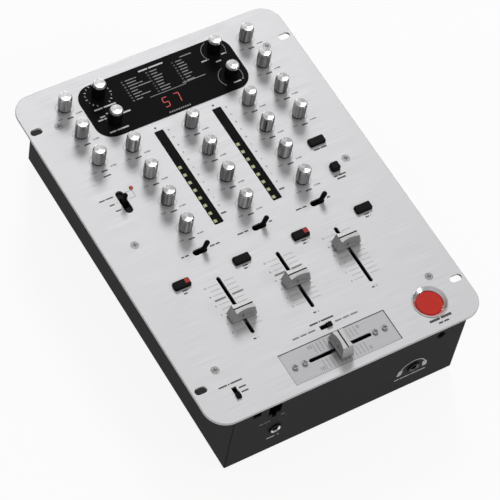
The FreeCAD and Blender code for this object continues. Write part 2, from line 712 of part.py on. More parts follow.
# Knobs
def knob_shape():
    """Knurled knob on its shaft, with the underside of the knob at the origin."""
    outer = KNOB_D / 2
    core = outer - KNURL_DEPTH
    rim = outer - KNURL_DEPTH / 3
    rim_high = KNOB_H - KNOB_BEVEL_H
    rim_low = rim_high - KNOB_RIM_H
    face = rim - KNOB_BEVEL_W
    profile = [(0, 0), (core, 0), (core, rim_low), (rim, rim_low), (rim, rim_high), (face, KNOB_H),
               (face - KNOB_EDGE, KNOB_H), (0, KNOB_H - KNOB_DISH_H)]
    corners = []
    for tooth in range(2 * KNURL_COUNT):
        angle = math.pi * tooth / KNURL_COUNT
        radius = outer if tooth % 2 == 0 else core
        corners.append(VEC(radius * math.cos(angle), radius * math.sin(angle), KNOB_SKIRT_H))
    star = Part.Face(Part.makePolygon(corners + corners[:1]))
    knurl = star.extrude(VEC(0, 0, rim_low - KNOB_GROOVE - KNOB_SKIRT_H))
    pointer = box(-POINTER_W / 2, POINTER_W / 2, outer - POINTER_L, outer + CUT,
                  KNOB_H - POINTER_H, KNOB_H + CUT)
    socket = post(0, 0, -CUT, SHAFT_SOCKET, SHAFT_D + 2 * FIT_GAP)
    knob = turned(profile, 0, 0).fuse(knurl).cut([pointer, socket])
    shaft = post(0, 0, -KNOB_LIFT - PLATE_T - SHAFT_DEPTH, SHAFT_SOCKET, SHAFT_D)
    return [knob, shaft]


def potentiometers():
    """Bodies between board and plate, each with a bushing that fills its hole in the plate."""
    low = BOARD_TOP
    body = block(0, 0, POT_SIZE, POT_SIZE, low, PLATE_UNDER)
    bush = post(0, 0, PLATE_UNDER - CUT, PLATE_TOP, BUSH_D)
    bore = post(0, 0, PLATE_UNDER - SHAFT_DEPTH - RUN_GAP, PLATE_TOP + CUT, SHAFT_D + 2 * RUN_GAP)
    shape = body.fuse(bush).cut(bore).removeSplitter()
    return [moved(shape, x, y) for x, y in KNOBS.values()]


# Faders, made along Y about the origin and turned where they run along X
def fader_cap():
    """Wedge cap, long along X, with hollowed grips, a low ridge and a line along it."""
    skirt = block(0, 0, CAP_BASE_L, CAP_BASE_W, 0, CAP_SKIRT_H)
    rings = []
    for width, length, z in ((CAP_BASE_L, CAP_BASE_W, CAP_SKIRT_H), (CAP_TOP_L, CAP_TOP_W, CAP_H)):
        corners = [VEC(sx * width / 2, sy * length / 2, z) for sx, sy in ((-1, -1), (1, -1), (1, 1), (-1, 1))]
        rings.append(Part.makePolygon(corners + corners[:1]))
    wedge = Part.makeLoft(rings, True, True)
    gable = [VEC(-CAP_TOP_L / 2, -CAP_TOP_W / 2, CAP_H), VEC(-CAP_TOP_L / 2, CAP_TOP_W / 2, CAP_H),
             VEC(-CAP_TOP_L / 2, 0, CAP_H + CAP_RIDGE_H)]
    ridge = Part.Face(Part.makePolygon(gable + gable[:1])).extrude(VEC(CAP_TOP_L, 0, 0))
    cap = skirt.multiFuse([wedge, ridge]).removeSplitter()
    reach = CAP_TOP_W / 2 - CAP_SCOOP_DEPTH + CAP_SCOOP_R
    top = CAP_H + CAP_RIDGE_H
    scoops = [post(0, side * reach, CAP_SKIRT_H, top + CUT, 2 * CAP_SCOOP_R) for side in (-1, 1)]
    line = block(0, 0, CAP_BASE_L, CAP_LINE_W, top - CAP_LINE_H, top + CUT)
    return cap.cut(scoops + [line])


def track_depths(top):
    """Levels of the inner space and the underside of a track whose top is at the given level."""
    ceiling = top - TRACK_WALL
    inner_floor = ceiling - CARRIAGE_H - 2 * RUN_GAP
    return ceiling, inner_floor, inner_floor - TRACK_WALL


def fader(top):
    """Cap, tongue and carriage of a fader that runs along Y in a track with its top at the given level."""
    ceiling, _, _ = track_depths(top)
    carriage_top = ceiling - RUN_GAP
    cap = moved(fader_cap(), 0, 0, CAP_BASE)
    tongue = block(0, 0, TONGUE_T, TONGUE_W, carriage_top, CAP_BASE + CAP_SOCKET_H)
    carriage = block(0, 0, CARRIAGE_W, CARRIAGE_L, carriage_top - CARRIAGE_H, carriage_top)
    return [cap.cut(tongue), tongue.fuse(carriage)]


def fader_track(top):
    """Closed channel along Y with a slot in its top and an end stop at each end of the travel."""
    ceiling, inner_floor, under = track_depths(top)
    inner_w = CARRIAGE_W + 2 * RUN_GAP
    inner_l = FADER_TRAVEL + CARRIAGE_L + 2 * RUN_GAP
    outer = block(0, 0, inner_w + 2 * TRACK_WALL, inner_l + 2 * TRACK_END, under, top)
    hollow = block(0, 0, inner_w, inner_l, inner_floor, ceiling)
    slot = obround(0, 0, FADER_SLOT_L, FADER_SLOT_W, ceiling - CUT, top + CUT, True)
    return outer.cut([hollow, slot])


def turned_to_x(shape):
    copy = shape.copy()
    copy.rotate(VEC(0, 0, 0), Z_AXIS, 90)
    return copy


def fader_tracks():
    """Tracks under the plate, and the crossfader's track under its bracket."""
    tracks = [moved(fader_track(PLATE_UNDER), x, FADER_Y) for x in CHANNEL_X]
    edge = 2 * CROSS_BRACKET_EDGE
    bracket = block(0, CROSS_Y, CROSS_PLATE_W + edge, CROSS_PLATE_L + edge, BRACKET_UNDER, PLATE_UNDER)
    cuts = [obround(0, CROSS_Y, FADER_SLOT_L, FADER_SLOT_W, BRACKET_UNDER - CUT, PLATE_UNDER + CUT)]
    cuts += [post(x, y, BRACKET_UNDER - CUT, PLATE_UNDER + CUT, CROSS_SCREW_D + 2 * FIT_GAP)
             for x, y in cross_screw_places()]
    for x, y in plate_slide_places():
        cuts.append(slide_block(x, y, False, RUN_GAP))
    tracks.append(bracket.cut(cuts))
    track = moved(turned_to_x(fader_track(BRACKET_UNDER)), 0, CROSS_Y)
    holes = [post(x, y, BRACKET_UNDER - CROSS_SCREW_L, BRACKET_UNDER + CUT, CROSS_SCREW_D + 2 * HOLE_GAP)
             for x, y in cross_screw_places()]
    tracks.append(track.cut(holes))
    return tracks


# Push buttons
def button(x, y, width, length, rise, lens):
    """Cap through the plate with a flange under it, a stem below, and a lens in a corner if it has one."""
    top = PLATE_TOP + rise
    flange_top = PLATE_UNDER - RUN_GAP
    flange_low = flange_top - BUTTON_FLANGE_T
    cap = soft_top(rounded(x, y, width, length, flange_low, top, BUTTON_CORNER_R), top, BUTTON_EDGE_R)
    flange = block(x, y, width + 2 * BUTTON_FLANGE, length + 2 * BUTTON_FLANGE, flange_low, flange_top)
    stem = block(x, y, BUTTON_STEM, BUTTON_STEM, flange_low - BUTTON_STEM_H, flange_low)
    body = cap.multiFuse([flange, stem]).removeSplitter()
    if not lens:
        return [body]
    lens_x = x + width / 2 - LENS_MARGIN - LENS_W / 2
    lens_y = y + length / 2 - LENS_MARGIN - LENS_L / 2
    window = block(lens_x, lens_y, LENS_W, LENS_L, top - BUTTON_EDGE_R, top)
    return [body.cut(window), window]


def button_switch(x, y):
    """Switch under a button, with a well that guides the stem."""
    flange_low = PLATE_UNDER - RUN_GAP - BUTTON_FLANGE_T
    top = flange_low - BUTTON_TRAVEL - RUN_GAP
    size = BUTTON_STEM + 2 * RUN_GAP
    well_low = flange_low - BUTTON_STEM_H - BUTTON_TRAVEL - RUN_GAP
    housing = block(x, y, size + 2 * SWITCH_WALL, size + 2 * SWITCH_WALL, BOARD_TOP, top)
    return housing.cut(block(x, y, size, size, well_low, top + CUT))


# Toggles
def toggle_lever(x, y, tilt, axis):
    """Lever about a ball, drawn upright and leaned about the axis through its pivot."""
    ball = Part.makeSphere(TOGGLE_BALL_D / 2, VEC(x, y, PIVOT_Z))
    tip = PIVOT_Z + TOGGLE_L - TOGGLE_TIP_D / 2
    arm = Part.makeCone(TOGGLE_NECK_D / 2, TOGGLE_TIP_D / 2, tip - PIVOT_Z, VEC(x, y, PIVOT_Z))
    end = Part.makeSphere(TOGGLE_TIP_D / 2, VEC(x, y, tip))
    lever = ball.multiFuse([arm, end])
    lever.rotate(VEC(x, y, PIVOT_Z), axis, tilt)
    return lever


def toggle_body(x, y, along_y):
    """Switch body under the plate with a well for the lever, wide enough for its lean to both sides."""
    well_w = TOGGLE_BALL_D + 2 * RUN_GAP
    lean = (TOGGLE_PIVOT - PLATE_T) * math.tan(math.radians(TOGGLE_TILT))
    well_l = 2 * (lean + TOGGLE_TIP_D / 2 / math.cos(math.radians(TOGGLE_TILT)) + RUN_GAP)
    well_low = PIVOT_Z - TOGGLE_BALL_D / 2 - RUN_GAP
    length = max(TOGGLE_BODY_L, well_l + 2 * SWITCH_WALL, MIC_SLOT_L + 2 * SWITCH_LAP if along_y else 0)
    width = max(TOGGLE_BODY_W, well_w + 2 * SWITCH_WALL)
    sizes = [(length, width), (well_l, well_w)]
    if along_y:
        sizes = [(w, l) for l, w in sizes]
    housing = block(x, y, sizes[0][0], sizes[0][1], BOARD_TOP, PLATE_UNDER)
    return housing.cut(block(x, y, sizes[1][0], sizes[1][1], well_low, PLATE_UNDER + CUT))


# Slide switches
def plate_slide_places():
    """Slide switches whose bodies reach the crossfader bracket."""
    bracket_rear = CROSS_Y + CROSS_PLATE_L / 2 + CROSS_BRACKET_EDGE
    near = [(x, y) for x, y, along_y, _ in SLIDES.values() if not along_y]
    return [(x, y) for x, y in near if y - SLIDE_SLOT_W / 2 - SLIDE_WALL - RUN_GAP < bracket_rear]


def slide_block(x, y, along_y, gap):
    size = (SLIDE_SLOT_L + 2 * (SLIDE_WALL + gap), SLIDE_SLOT_W + 2 * (SLIDE_WALL + gap))
    if along_y:
        size = size[::-1]
    return block(x, y, size[0], size[1], PLATE_UNDER - SLIDE_BODY_H - gap, PLATE_UNDER)


def slide_body(x, y, along_y):
    size = (SLIDE_SLOT_W, SLIDE_SLOT_L) if along_y else (SLIDE_SLOT_L, SLIDE_SLOT_W)
    well = block(x, y, size[0], size[1], PLATE_UNDER - SLIDE_BODY_H + SLIDE_FLOOR, PLATE_UNDER + CUT)
    return slide_block(x, y, along_y, 0.0).cut(well)


def slide_nub(x, y, along_y, end):
    """Nub with two grip ribs, standing in the well of its switch at one end of the travel."""
    low = PLATE_UNDER - SLIDE_BODY_H + SLIDE_FLOOR + RUN_GAP
    top = PLATE_TOP + SLIDE_NUB_RISE
    width = SLIDE_SLOT_W - 2 * RUN_GAP
    shift = end * SLIDE_TRAVEL / 2
    nub = block(0, 0, SLIDE_NUB_L, width, low, top)
    grooves = [block(side * SLIDE_NUB_L / 4, 0, SLIDE_RIB, width + 2 * CUT, top - SLIDE_RIB, top + CUT)
               for side in (-1, 1)]
    nub = nub.cut(grooves)
    if along_y:
        return moved(turned_to_x(nub), x, y + shift)
    return moved(nub, x + shift, y)


# Large round button
def effect_button_housing():
    """Bright dish with a thin lip on the plate, and a shallow closed barrel under it."""
    bore = EFFECT_BORE_D / 2
    barrel = BARREL_D / 2
    rim = BEZEL_D / 2
    low = PLATE_TOP - BARREL_DEPTH
    high = PLATE_TOP + BEZEL_RISE
    profile = [(0, low), (barrel, low), (barrel, PLATE_TOP), (rim, PLATE_TOP), (rim, high - BEZEL_ROUND),
               (rim - BEZEL_ROUND * 0.3, high - BEZEL_ROUND * 0.3), (rim - BEZEL_ROUND, high),
               (rim - BEZEL_ROUND - BEZEL_FLAT, high), (bore, high - DISH_DEPTH), (bore, low + BARREL_FLOOR),
               (0, low + BARREL_FLOOR)]
    return [turned(profile, EFFECT_X, EFFECT_Y)]


def effect_button():
    top = PLATE_TOP - EFFECT_CAP_DROP
    cap = post(EFFECT_X, EFFECT_Y, top - EFFECT_CAP_H, top, EFFECT_CAP_D)
    return [soft_top(cap, top, EFFECT_CAP_EDGE_R)]


# Sockets in the front wall
def jack(x, z, nut):
    """Jack body behind the wall, with a bushing through it, a widened mouth and a ring nut if it has one."""
    body = box(x - JACK_BODY_W / 2, x + JACK_BODY_W / 2, WALL_IN, WALL_IN + JACK_BODY_L,
               z - JACK_BODY_H / 2, z + JACK_BODY_H / 2)
    front = BODY_FRONT - (JACK_NUT_T if nut else 0.0)
    bush = rod_y(x, z, front, WALL_IN + CUT, JACK_BUSH_D)
    solid = body.fuse(bush)
    if nut:
        solid = solid.fuse(rod_y(x, z, front, BODY_FRONT, JACK_NUT_D))
    bore = rod_y(x, z, front - CUT, front + JACK_BORE_DEPTH, JACK_BORE_D)
    mouth = Part.makeCone(JACK_MOUTH_D / 2, JACK_BORE_D / 2, JACK_MOUTH_L, VEC(x, front, z), Y_AXIS)
    return solid.cut([bore, mouth]).removeSplitter()


def socket_shell(spaces, x, low, high, half_width, depth):
    """Housing behind the wall around the given spaces."""
    reach = half_width + SOCKET_WALL
    shell = box(x - reach, x + reach, WALL_IN, WALL_IN + depth + SOCKET_WALL,
                low - SOCKET_WALL, min(high + SOCKET_WALL, PLATE_UNDER))
    return shell.cut(spaces)


def front_jacks():
    modular_mid = PLATE_TOP - MODULAR_DROP
    modular = socket_shell(modular_space(WALL_IN - CUT, WALL_IN + MODULAR_DEPTH), MODULAR_X,
                           modular_mid - MODULAR_H / 2 - MODULAR_NOTCH_H, modular_mid + MODULAR_H / 2,
                           MODULAR_W / 2, MODULAR_DEPTH)
    square_mid = PLATE_TOP - SQUARE_DROP
    square = socket_shell(square_space(WALL_IN - CUT, WALL_IN + SQUARE_DEPTH), SQUARE_X,
                          square_mid - SQUARE_SIZE / 2, square_mid + SQUARE_SIZE / 2,
                          SQUARE_SIZE / 2, SQUARE_DEPTH)
    return [jack(x, PLATE_TOP - drop, nut) for x, drop, nut in JACKS] + [modular, square]


# Rear panel pieces
def phono_jack():
    """Phono jack about the origin, the outer face of the panel at y = 0: metal shell and insulator."""
    inner = PHONO_D - 2 * PHONO_WALL
    flange = rod_y(0, 0, 0, PHONO_FLANGE_T, PHONO_FLANGE_D)
    tube = rod_y(0, 0, -SHEET_T, PHONO_L, PHONO_D)
    body = box(-PHONO_FLANGE_D / 2, PHONO_FLANGE_D / 2, -SHEET_T - PHONO_BODY, -SHEET_T,
               -PHONO_FLANGE_D / 2, PHONO_FLANGE_D / 2)
    hollow = rod_y(0, 0, PHONO_FLANGE_T, PHONO_L + CUT, inner)
    shell = body.multiFuse([flange, tube]).cut(hollow).removeSplitter()
    core = rod_y(0, 0, PHONO_FLANGE_T, PHONO_L - PHONO_INSET, inner - 2 * FIT_GAP)
    return [shell, core.cut(rod_y(0, 0, PHONO_FLANGE_T + PHONO_FLOOR, PHONO_L, PHONO_PIN_D))]


def ground_post():
    nut = rod_y(GROUND_X, INLET_Z, BODY_REAR, BODY_REAR + GROUND_NUT_T, GROUND_NUT_D)
    stud = rod_y(GROUND_X, INLET_Z, REAR_IN - GROUND_NUT_T, BODY_REAR + GROUND_NUT_T + GROUND_TIP, GROUND_D)
    back_nut = rod_y(GROUND_X, INLET_Z, REAR_IN - GROUND_NUT_T, REAR_IN, GROUND_NUT_D)
    return nut.multiFuse([stud, back_nut]).removeSplitter()


def rear_jacks():
    pieces = phono_jack()
    jacks = [moved(piece, x, BODY_REAR, z) for x, z in phono_places() for piece in pieces]
    return jacks + [ground_post()]


def power_inlet():
    """Round low voltage inlet with a centre pin."""
    flange = rod_y(INLET_X, INLET_Z, BODY_REAR, BODY_REAR + PHONO_FLANGE_T, PHONO_FLANGE_D)
    neck = rod_y(INLET_X, INLET_Z, REAR_IN, BODY_REAR, INLET_D)
    half = PHONO_FLANGE_D / 2
    body = box(INLET_X - half, INLET_X + half, REAR_IN - INLET_DEPTH, REAR_IN, INLET_Z - half, INLET_Z + half)
    bore = rod_y(INLET_X, INLET_Z, BODY_REAR - INLET_DEPTH, BODY_REAR + PHONO_FLANGE_T + CUT, INLET_BORE_D)
    pin = rod_y(INLET_X, INLET_Z, BODY_REAR - INLET_DEPTH, BODY_REAR, INLET_PIN_D)
    return [flange.multiFuse([neck, body]).cut(bore).fuse(pin)]


def rocker_space(y0, y1, margin):
    half_w = ROCKER_W / 2 + margin
    half_h = ROCKER_H / 2 + margin
    return box(ROCKER_X - half_w, ROCKER_X + half_w, y0, y1, ROCKER_Z - half_h, ROCKER_Z + half_h)


def rocker_pivot_y():
    return BODY_REAR + ROCKER_RISE - ROCKER_T


def rocker_housing():
    """Frame on the rear panel and a box behind it, with a well in which the rocker swings."""
    gap = RUN_GAP + ROCKER_FRAME_T
    frame = rocker_space(BODY_REAR, BODY_REAR + ROCKER_FRAME_T, gap + ROCKER_FRAME)
    shell = rocker_space(REAR_IN - ROCKER_DEPTH, BODY_REAR, gap - HOLE_GAP)
    well = rocker_space(REAR_IN - ROCKER_DEPTH + ROCKER_FRAME, BODY_REAR + ROCKER_FRAME_T + CUT, RUN_GAP)
    pin_y = rocker_pivot_y()
    reach = ROCKER_W / 2 + gap - HOLE_GAP
    axle = Part.makeCylinder(ROCKER_AXLE_D / 2, 2 * reach, VEC(ROCKER_X - reach, pin_y, ROCKER_Z), X_AXIS)
    return frame.fuse(shell).cut(well).fuse(axle)


def power_rocker():
    """Rocker with two faces meeting over its axle, resting with its lower end pressed in."""
    pin_y = rocker_pivot_y()
    crown = math.tan(math.radians(ROCKER_TILT)) * ROCKER_H / 2
    half = ROCKER_H / 2 - ROCKER_T * math.tan(math.radians(ROCKER_TILT))
    outline = [(pin_y - ROCKER_AXLE_D, -half / 2), (pin_y, -half), (pin_y + ROCKER_T, -half),
               (pin_y + ROCKER_T - crown, 0), (pin_y + ROCKER_T, half), (pin_y, half),
               (pin_y - ROCKER_AXLE_D, half / 2)]
    corners = [VEC(ROCKER_X - ROCKER_W / 2, y, ROCKER_Z + z) for y, z in outline]
    rocker = Part.Face(Part.makePolygon(corners + corners[:1])).extrude(VEC(ROCKER_W, 0, 0))
    bore = Part.makeCylinder(ROCKER_AXLE_D / 2 + RUN_GAP, ROCKER_W + 2 * CUT,
                             VEC(ROCKER_X - ROCKER_W / 2 - CUT, pin_y, ROCKER_Z), X_AXIS)
    rocker = rocker.cut(bore)
    rocker.rotate(VEC(ROCKER_X, pin_y, ROCKER_Z), X_AXIS, ROCKER_TILT)
    return [rocker]


def switch_bodies():
    bodies = [toggle_body(x, y, along_y) for x, y, along_y in TOGGLES.values()]
    bodies += [button_switch(x, y) for x, y, _, _, _ in BUTTONS.values()]
    bodies += [slide_body(x, y, along_y) for x, y, along_y, _ in SLIDES.values()]
    return bodies + [rocker_housing()]


def power_supply():
    """Board on four posts, with two capacitors and a finned heat sink."""
    low = FLOOR_TOP + STANDOFF_H
    top = low + BOARD_T
    board = block(SUPPLY_X, SUPPLY_Y, SUPPLY_W, SUPPLY_L, low, top)
    reach = (SUPPLY_W / 2 - SUPPLY_INSET, SUPPLY_L / 2 - SUPPLY_INSET)
    posts = [post(SUPPLY_X + x, SUPPLY_Y + y, FLOOR_TOP, low, STANDOFF_D) for x, y in corner_places(*reach)]
    cans = [post(SUPPLY_X + side * CAPACITOR_D, SUPPLY_Y + SUPPLY_L / 5, top, top + CAPACITOR_H, CAPACITOR_D)
            for side in (-1, 1)]
    sink_y = SUPPLY_Y - SUPPLY_L / 4
    sink = block(SUPPLY_X, sink_y, SINK_W, SINK_T, top, top + SINK_H)
    pitch = 2 * SINK_FIN
    gaps = int((SINK_W - SINK_FIN) / pitch)
    left = SUPPLY_X - SINK_W / 2
    slots = [box(left + SINK_FIN + pitch * n, left + pitch * (n + 1), sink_y - SINK_T / 2 + SINK_FIN,
                 sink_y + SINK_T, top - CUT, top + SINK_H + CUT) for n in range(gaps)]
    return [board] + posts + cans + [sink.cut(slots)]


def build():
    os.makedirs("parts", exist_ok=True)
    single = [face_plate, chassis_tray, rear_panel, rubber_feet, case_screws, effects_panel, crossfader_plate,
              meter_lenses, meter_leds, display_module, main_board, potentiometers, fader_tracks,
              switch_bodies, effect_button_housing, front_jacks, rear_jacks, power_inlet, power_supply,
              effect_button, power_rocker]
    for make in single:
        export(make.__name__, make())
    knob = knob_shape()
    for name, (x, y) in KNOBS.items():
        export(name, [moved(solid, x, y, KNOB_BASE) for solid in knob])
    for number, (x, rest) in enumerate(zip(CHANNEL_X, FADER_REST), start=1):
        export("ch%d_fader" % number, [moved(solid, x, FADER_Y + rest) for solid in fader(PLATE_UNDER)])
    export("crossfader", [moved(turned_to_x(solid), 0, CROSS_Y) for solid in fader(BRACKET_UNDER)])
    for name, (x, y, width, length, rise) in BUTTONS.items():
        export(name, button(x, y, width, length, rise, "cue" in name))
    for name, (x, y, along_y) in TOGGLES.items():
        tilt = 0.0 if along_y else TOGGLE_TILT
        export(name, [toggle_lever(x, y, tilt, Y_AXIS)])
    for name, (x, y, along_y, end) in SLIDES.items():
        export(name, [slide_nub(x, y, along_y, end)])


build()
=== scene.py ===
import json
import math

import bmesh
import bpy
from mathutils import Matrix, Vector


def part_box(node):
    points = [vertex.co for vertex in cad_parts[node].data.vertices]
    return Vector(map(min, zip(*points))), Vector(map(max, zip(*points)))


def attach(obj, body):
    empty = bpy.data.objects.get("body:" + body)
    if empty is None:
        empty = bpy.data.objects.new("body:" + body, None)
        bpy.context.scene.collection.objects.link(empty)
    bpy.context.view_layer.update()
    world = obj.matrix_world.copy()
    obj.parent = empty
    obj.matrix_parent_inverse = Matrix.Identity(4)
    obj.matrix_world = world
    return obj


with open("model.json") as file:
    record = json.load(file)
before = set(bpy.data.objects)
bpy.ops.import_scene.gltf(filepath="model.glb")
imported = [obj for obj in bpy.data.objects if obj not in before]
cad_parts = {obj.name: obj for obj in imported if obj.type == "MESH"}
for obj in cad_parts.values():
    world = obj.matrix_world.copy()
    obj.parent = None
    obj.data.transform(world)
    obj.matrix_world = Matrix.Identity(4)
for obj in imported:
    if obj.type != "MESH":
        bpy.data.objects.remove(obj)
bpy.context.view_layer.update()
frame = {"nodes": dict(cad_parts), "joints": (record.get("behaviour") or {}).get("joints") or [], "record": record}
NODES = frame["nodes"]

# Places are in millimetres, with the plate's middle at 0, 0
MM = 0.001
TOUCH = 0.05


def edge(node, side, axis):
    """Level of a node's box in millimetres, side 0 for the lowest corner and 1 for the highest."""
    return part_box(node)[side][axis] / MM


PLATE_TOP = edge("face_plate", 1, 2)
PANEL_TOP = edge("effects_panel", 1, 2)
CROSS_TOP = edge("crossfader_plate", 1, 2)
FRONT_FACE = edge("chassis_tray", 0, 1)
REAR_FACE = edge("rear_panel", 1, 1)
KNOBS = {joint["child"]: Vector(joint["pos_m"]) / MM for joint in frame["joints"]
         if joint["child"].endswith("_knob")}
FX_KNOBS = [name for name in KNOBS if name.startswith("fx_")]

# Camera, fitted to the photograph
CAMERA_HEADING = 40.67
CAMERA_ELEVATION = 55.57
CAMERA_ROLL = 12.47
CAMERA_LENS = 183.27
CAMERA_SENSOR = 36.0
CAMERA_PLACE = Vector((-771.80, -917.15, 1686.46 + PLATE_TOP))

# Light: a soft lamp behind, a weaker one at the front right, and a sky that darkens towards the horizon
LAMP_HEADING = 26.0
LAMP_ELEVATION = 40.0
LAMP_DISTANCE = 5.0
LAMP_SIZE = 1.7
LAMP_POWER = 117.0
FRONT_HEADING = 140.0
FRONT_ELEVATION = 30.0
FRONT_SIZE = 1.0
FRONT_POWER = 30.0
SKY_TOP = 0.70
SKY_EDGE = 0.05
FLOOR_SIZE = 8.0
FLOOR_WHITE = 0.90
FLOOR_GREY = 0.9

# Printing
PRINT_LIFT = 0.04
PRINT_SINK = 0.03
INK_H = 1.3
WORD_GAP = 0.9
FONT_SCALE = 1.38

# Part of the noise that materials use, and the depth of a relief of 1 in metres
NOISE_LOW = 0.3
NOISE_HIGH = 0.7
NOISE_DETAIL = 3.0
RELIEF_DEPTH = 0.05 * MM


# Materials
def grey(value):
    return (value, value, value)


def even(grain):
    """The same grain along all three axes."""
    return (grain, grain, grain)


def add_noise(tree, grain):
    """Noise with the given grain per metre along each axis."""
    place = tree.nodes.new("ShaderNodeTexCoord")
    stretch = tree.nodes.new("ShaderNodeMapping")
    stretch.inputs["Scale"].default_value = grain
    noise = tree.nodes.new("ShaderNodeTexNoise")
    noise.inputs["Scale"].default_value = 1.0
    noise.inputs["Detail"].default_value = NOISE_DETAIL
    tree.links.new(place.outputs["Object"], stretch.inputs["Vector"])
    tree.links.new(stretch.outputs["Vector"], noise.inputs["Vector"])
    return noise.outputs["Fac"]


def add_tones(tree, noise, base, shade):
    """Colour that goes from the shade to the base with the noise."""
    tones = tree.nodes.new("ShaderNodeValToRGB")
    ends = tones.color_ramp.elements
    for end, position, colour in zip(ends, (NOISE_LOW, NOISE_HIGH), (shade, base)):
        end.position = position
        end.color = (*colour, 1.0)
    tree.links.new(noise, tones.inputs["Fac"])
    return tones.outputs["Color"]


def add_polish(tree, noise, smooth, rough):
    """Roughness that falls from rough to smooth with the noise."""
    polish = tree.nodes.new("ShaderNodeMapRange")
    polish.inputs["From Min"].default_value = NOISE_LOW
    polish.inputs["From Max"].default_value = NOISE_HIGH
    polish.inputs["To Min"].default_value = rough
    polish.inputs["To Max"].default_value = smooth
    tree.links.new(noise, polish.inputs["Value"])
    return polish.outputs["Result"]


def add_relief(tree, noise, strength):
    bump = tree.nodes.new("ShaderNodeBump")
    bump.inputs["Strength"].default_value = strength
    bump.inputs["Distance"].default_value = RELIEF_DEPTH
    tree.links.new(noise, bump.inputs["Height"])
    return bump.outputs["Normal"]


def surface(name, base, shade, metallic=0.0, roughness=(0.4, 0.5), grain=even(900), relief=0.0,
            specular=0.5, streak=0.0, streak_turn=0.0):
    """Principled material whose colour, roughness and relief follow one noise."""
    material = bpy.data.materials.new(name)
    material.use_nodes = True
    tree = material.node_tree
    shader = tree.nodes["Principled BSDF"]
    shader.inputs["Metallic"].default_value = metallic
    shader.inputs["Specular IOR Level"].default_value = specular
    shader.inputs["Anisotropic"].default_value = streak
    shader.inputs["Anisotropic Rotation"].default_value = streak_turn
    noise = add_noise(tree, grain)
    tree.links.new(add_tones(tree, noise, base, shade), shader.inputs["Base Color"])
    tree.links.new(add_polish(tree, noise, *roughness), shader.inputs["Roughness"])
    if relief:
        tree.links.new(add_relief(tree, noise, relief), shader.inputs["Normal"])
    return material


def streaked(material, along):
    """Draws the highlights of a flat brushed material out along one direction."""
    nodes = material.node_tree.nodes
    tangent = nodes.new("ShaderNodeCombineXYZ")
    for socket, part in zip(tangent.inputs, along):
        socket.default_value = part
    material.node_tree.links.new(tangent.outputs["Vector"], nodes["Principled BSDF"].inputs["Tangent"])
    return material


def glowing(material, colour, strength):
    shader = material.node_tree.nodes["Principled BSDF"]
    shader.inputs["Emission Color"].default_value = (*colour, 1.0)
    shader.inputs["Emission Strength"].default_value = strength
    return material


def brushed_aluminium():
    """Sheet brushed from left to right."""
    sheet = surface("brushed_aluminium", (0.565, 0.565, 0.575), (0.515, 0.515, 0.525), metallic=0.6,
                    roughness=(0.54, 0.62), grain=(25, 2600, 25), relief=0.03, streak=0.5)
    return streaked(sheet, (0.0, 1.0, 0.0))


def satin_aluminium():
    """Darker sheet, brushed the same way."""
    sheet = surface("satin_aluminium", (0.43, 0.43, 0.44), (0.39, 0.39, 0.40), metallic=0.6,
                    roughness=(0.54, 0.62), grain=(25, 2600, 25), relief=0.05, streak=0.5)
    return streaked(sheet, (0.0, 1.0, 0.0))


def case_paint():
    return surface("case_paint", (0.026, 0.025, 0.025), grey(0.018), roughness=(0.42, 0.55), grain=even(1800),
                   relief=0.3, specular=0.03)


def knob_side():
    """Straight knurl, shown as painted reflections: bright and dark streaks that run up and down."""
    return surface("knob_side", grey(0.86), grey(0.04), metallic=1.0, roughness=(0.36, 0.42),
                   grain=(420, 420, 12), streak=0.95, streak_turn=0.25)


def knob_top():
    """Turned face, whose highlights run out from its middle."""
    return surface("knob_top", grey(0.48), grey(0.38), metallic=1.0, roughness=(0.30, 0.36), grain=even(400),
                   streak=0.7, streak_turn=0.25)


def fader_paint():
    return surface("fader_paint", grey(0.52), grey(0.47), metallic=0.7, roughness=(0.52, 0.60),
                   grain=even(1500), relief=0.1, specular=0.2)


def black_plastic():
    return surface("black_plastic", grey(0.0085), grey(0.005), roughness=(0.3, 0.42), grain=even(1500),
                   relief=0.2, specular=0.05)


def panel_paint():
    return surface("panel_paint", (0.008, 0.008, 0.009), grey(0.006), roughness=(0.5, 0.6), grain=even(1500),
                   relief=0.1, specular=0.02)


def smoked_lens():
    return surface("smoked_lens", grey(0.008), grey(0.005), roughness=(0.12, 0.2), grain=even(200),
                   specular=0.05)


def screw_steel():
    return surface("screw_steel", grey(0.36), grey(0.28), metallic=0.5, roughness=(0.45, 0.55),
                   grain=even(1200), relief=0.2, specular=0.3)


def chrome():
    return surface("chrome", grey(0.85), grey(0.80), metallic=1.0, roughness=(0.20, 0.28), grain=even(150))


def dull_nickel():
    return surface("dull_nickel", grey(0.16), grey(0.11), metallic=1.0, roughness=(0.3, 0.42),
                   grain=even(400))


def gold_plate():
    return surface("gold_plate", (0.80, 0.60, 0.28), (0.70, 0.50, 0.22), metallic=1.0, roughness=(0.18, 0.3),
                   grain=even(400))


def red_cap():
    return surface("red_cap", (0.58, 0.026, 0.016), (0.50, 0.020, 0.012), roughness=(0.4, 0.5),
                   grain=even(600), relief=0.05, specular=0.15)


def coloured_plastic(name, colour):
    shade = tuple(0.8 * part for part in colour)
    return surface(name, colour, shade, roughness=(0.3, 0.4), relief=0.1, specular=0.2)


def rubber():
    return surface("rubber", grey(0.02), grey(0.012), roughness=(0.7, 0.85), grain=even(1200), relief=0.6)


def circuit_board():
    return surface("circuit_board", (0.03, 0.16, 0.06), (0.02, 0.11, 0.04), roughness=(0.35, 0.5),
                   grain=(250, 1200, 250), relief=0.1)


def ink(name, tone):
    return surface(name, grey(tone), grey(0.85 * tone), roughness=(0.5, 0.65), grain=even(2500))


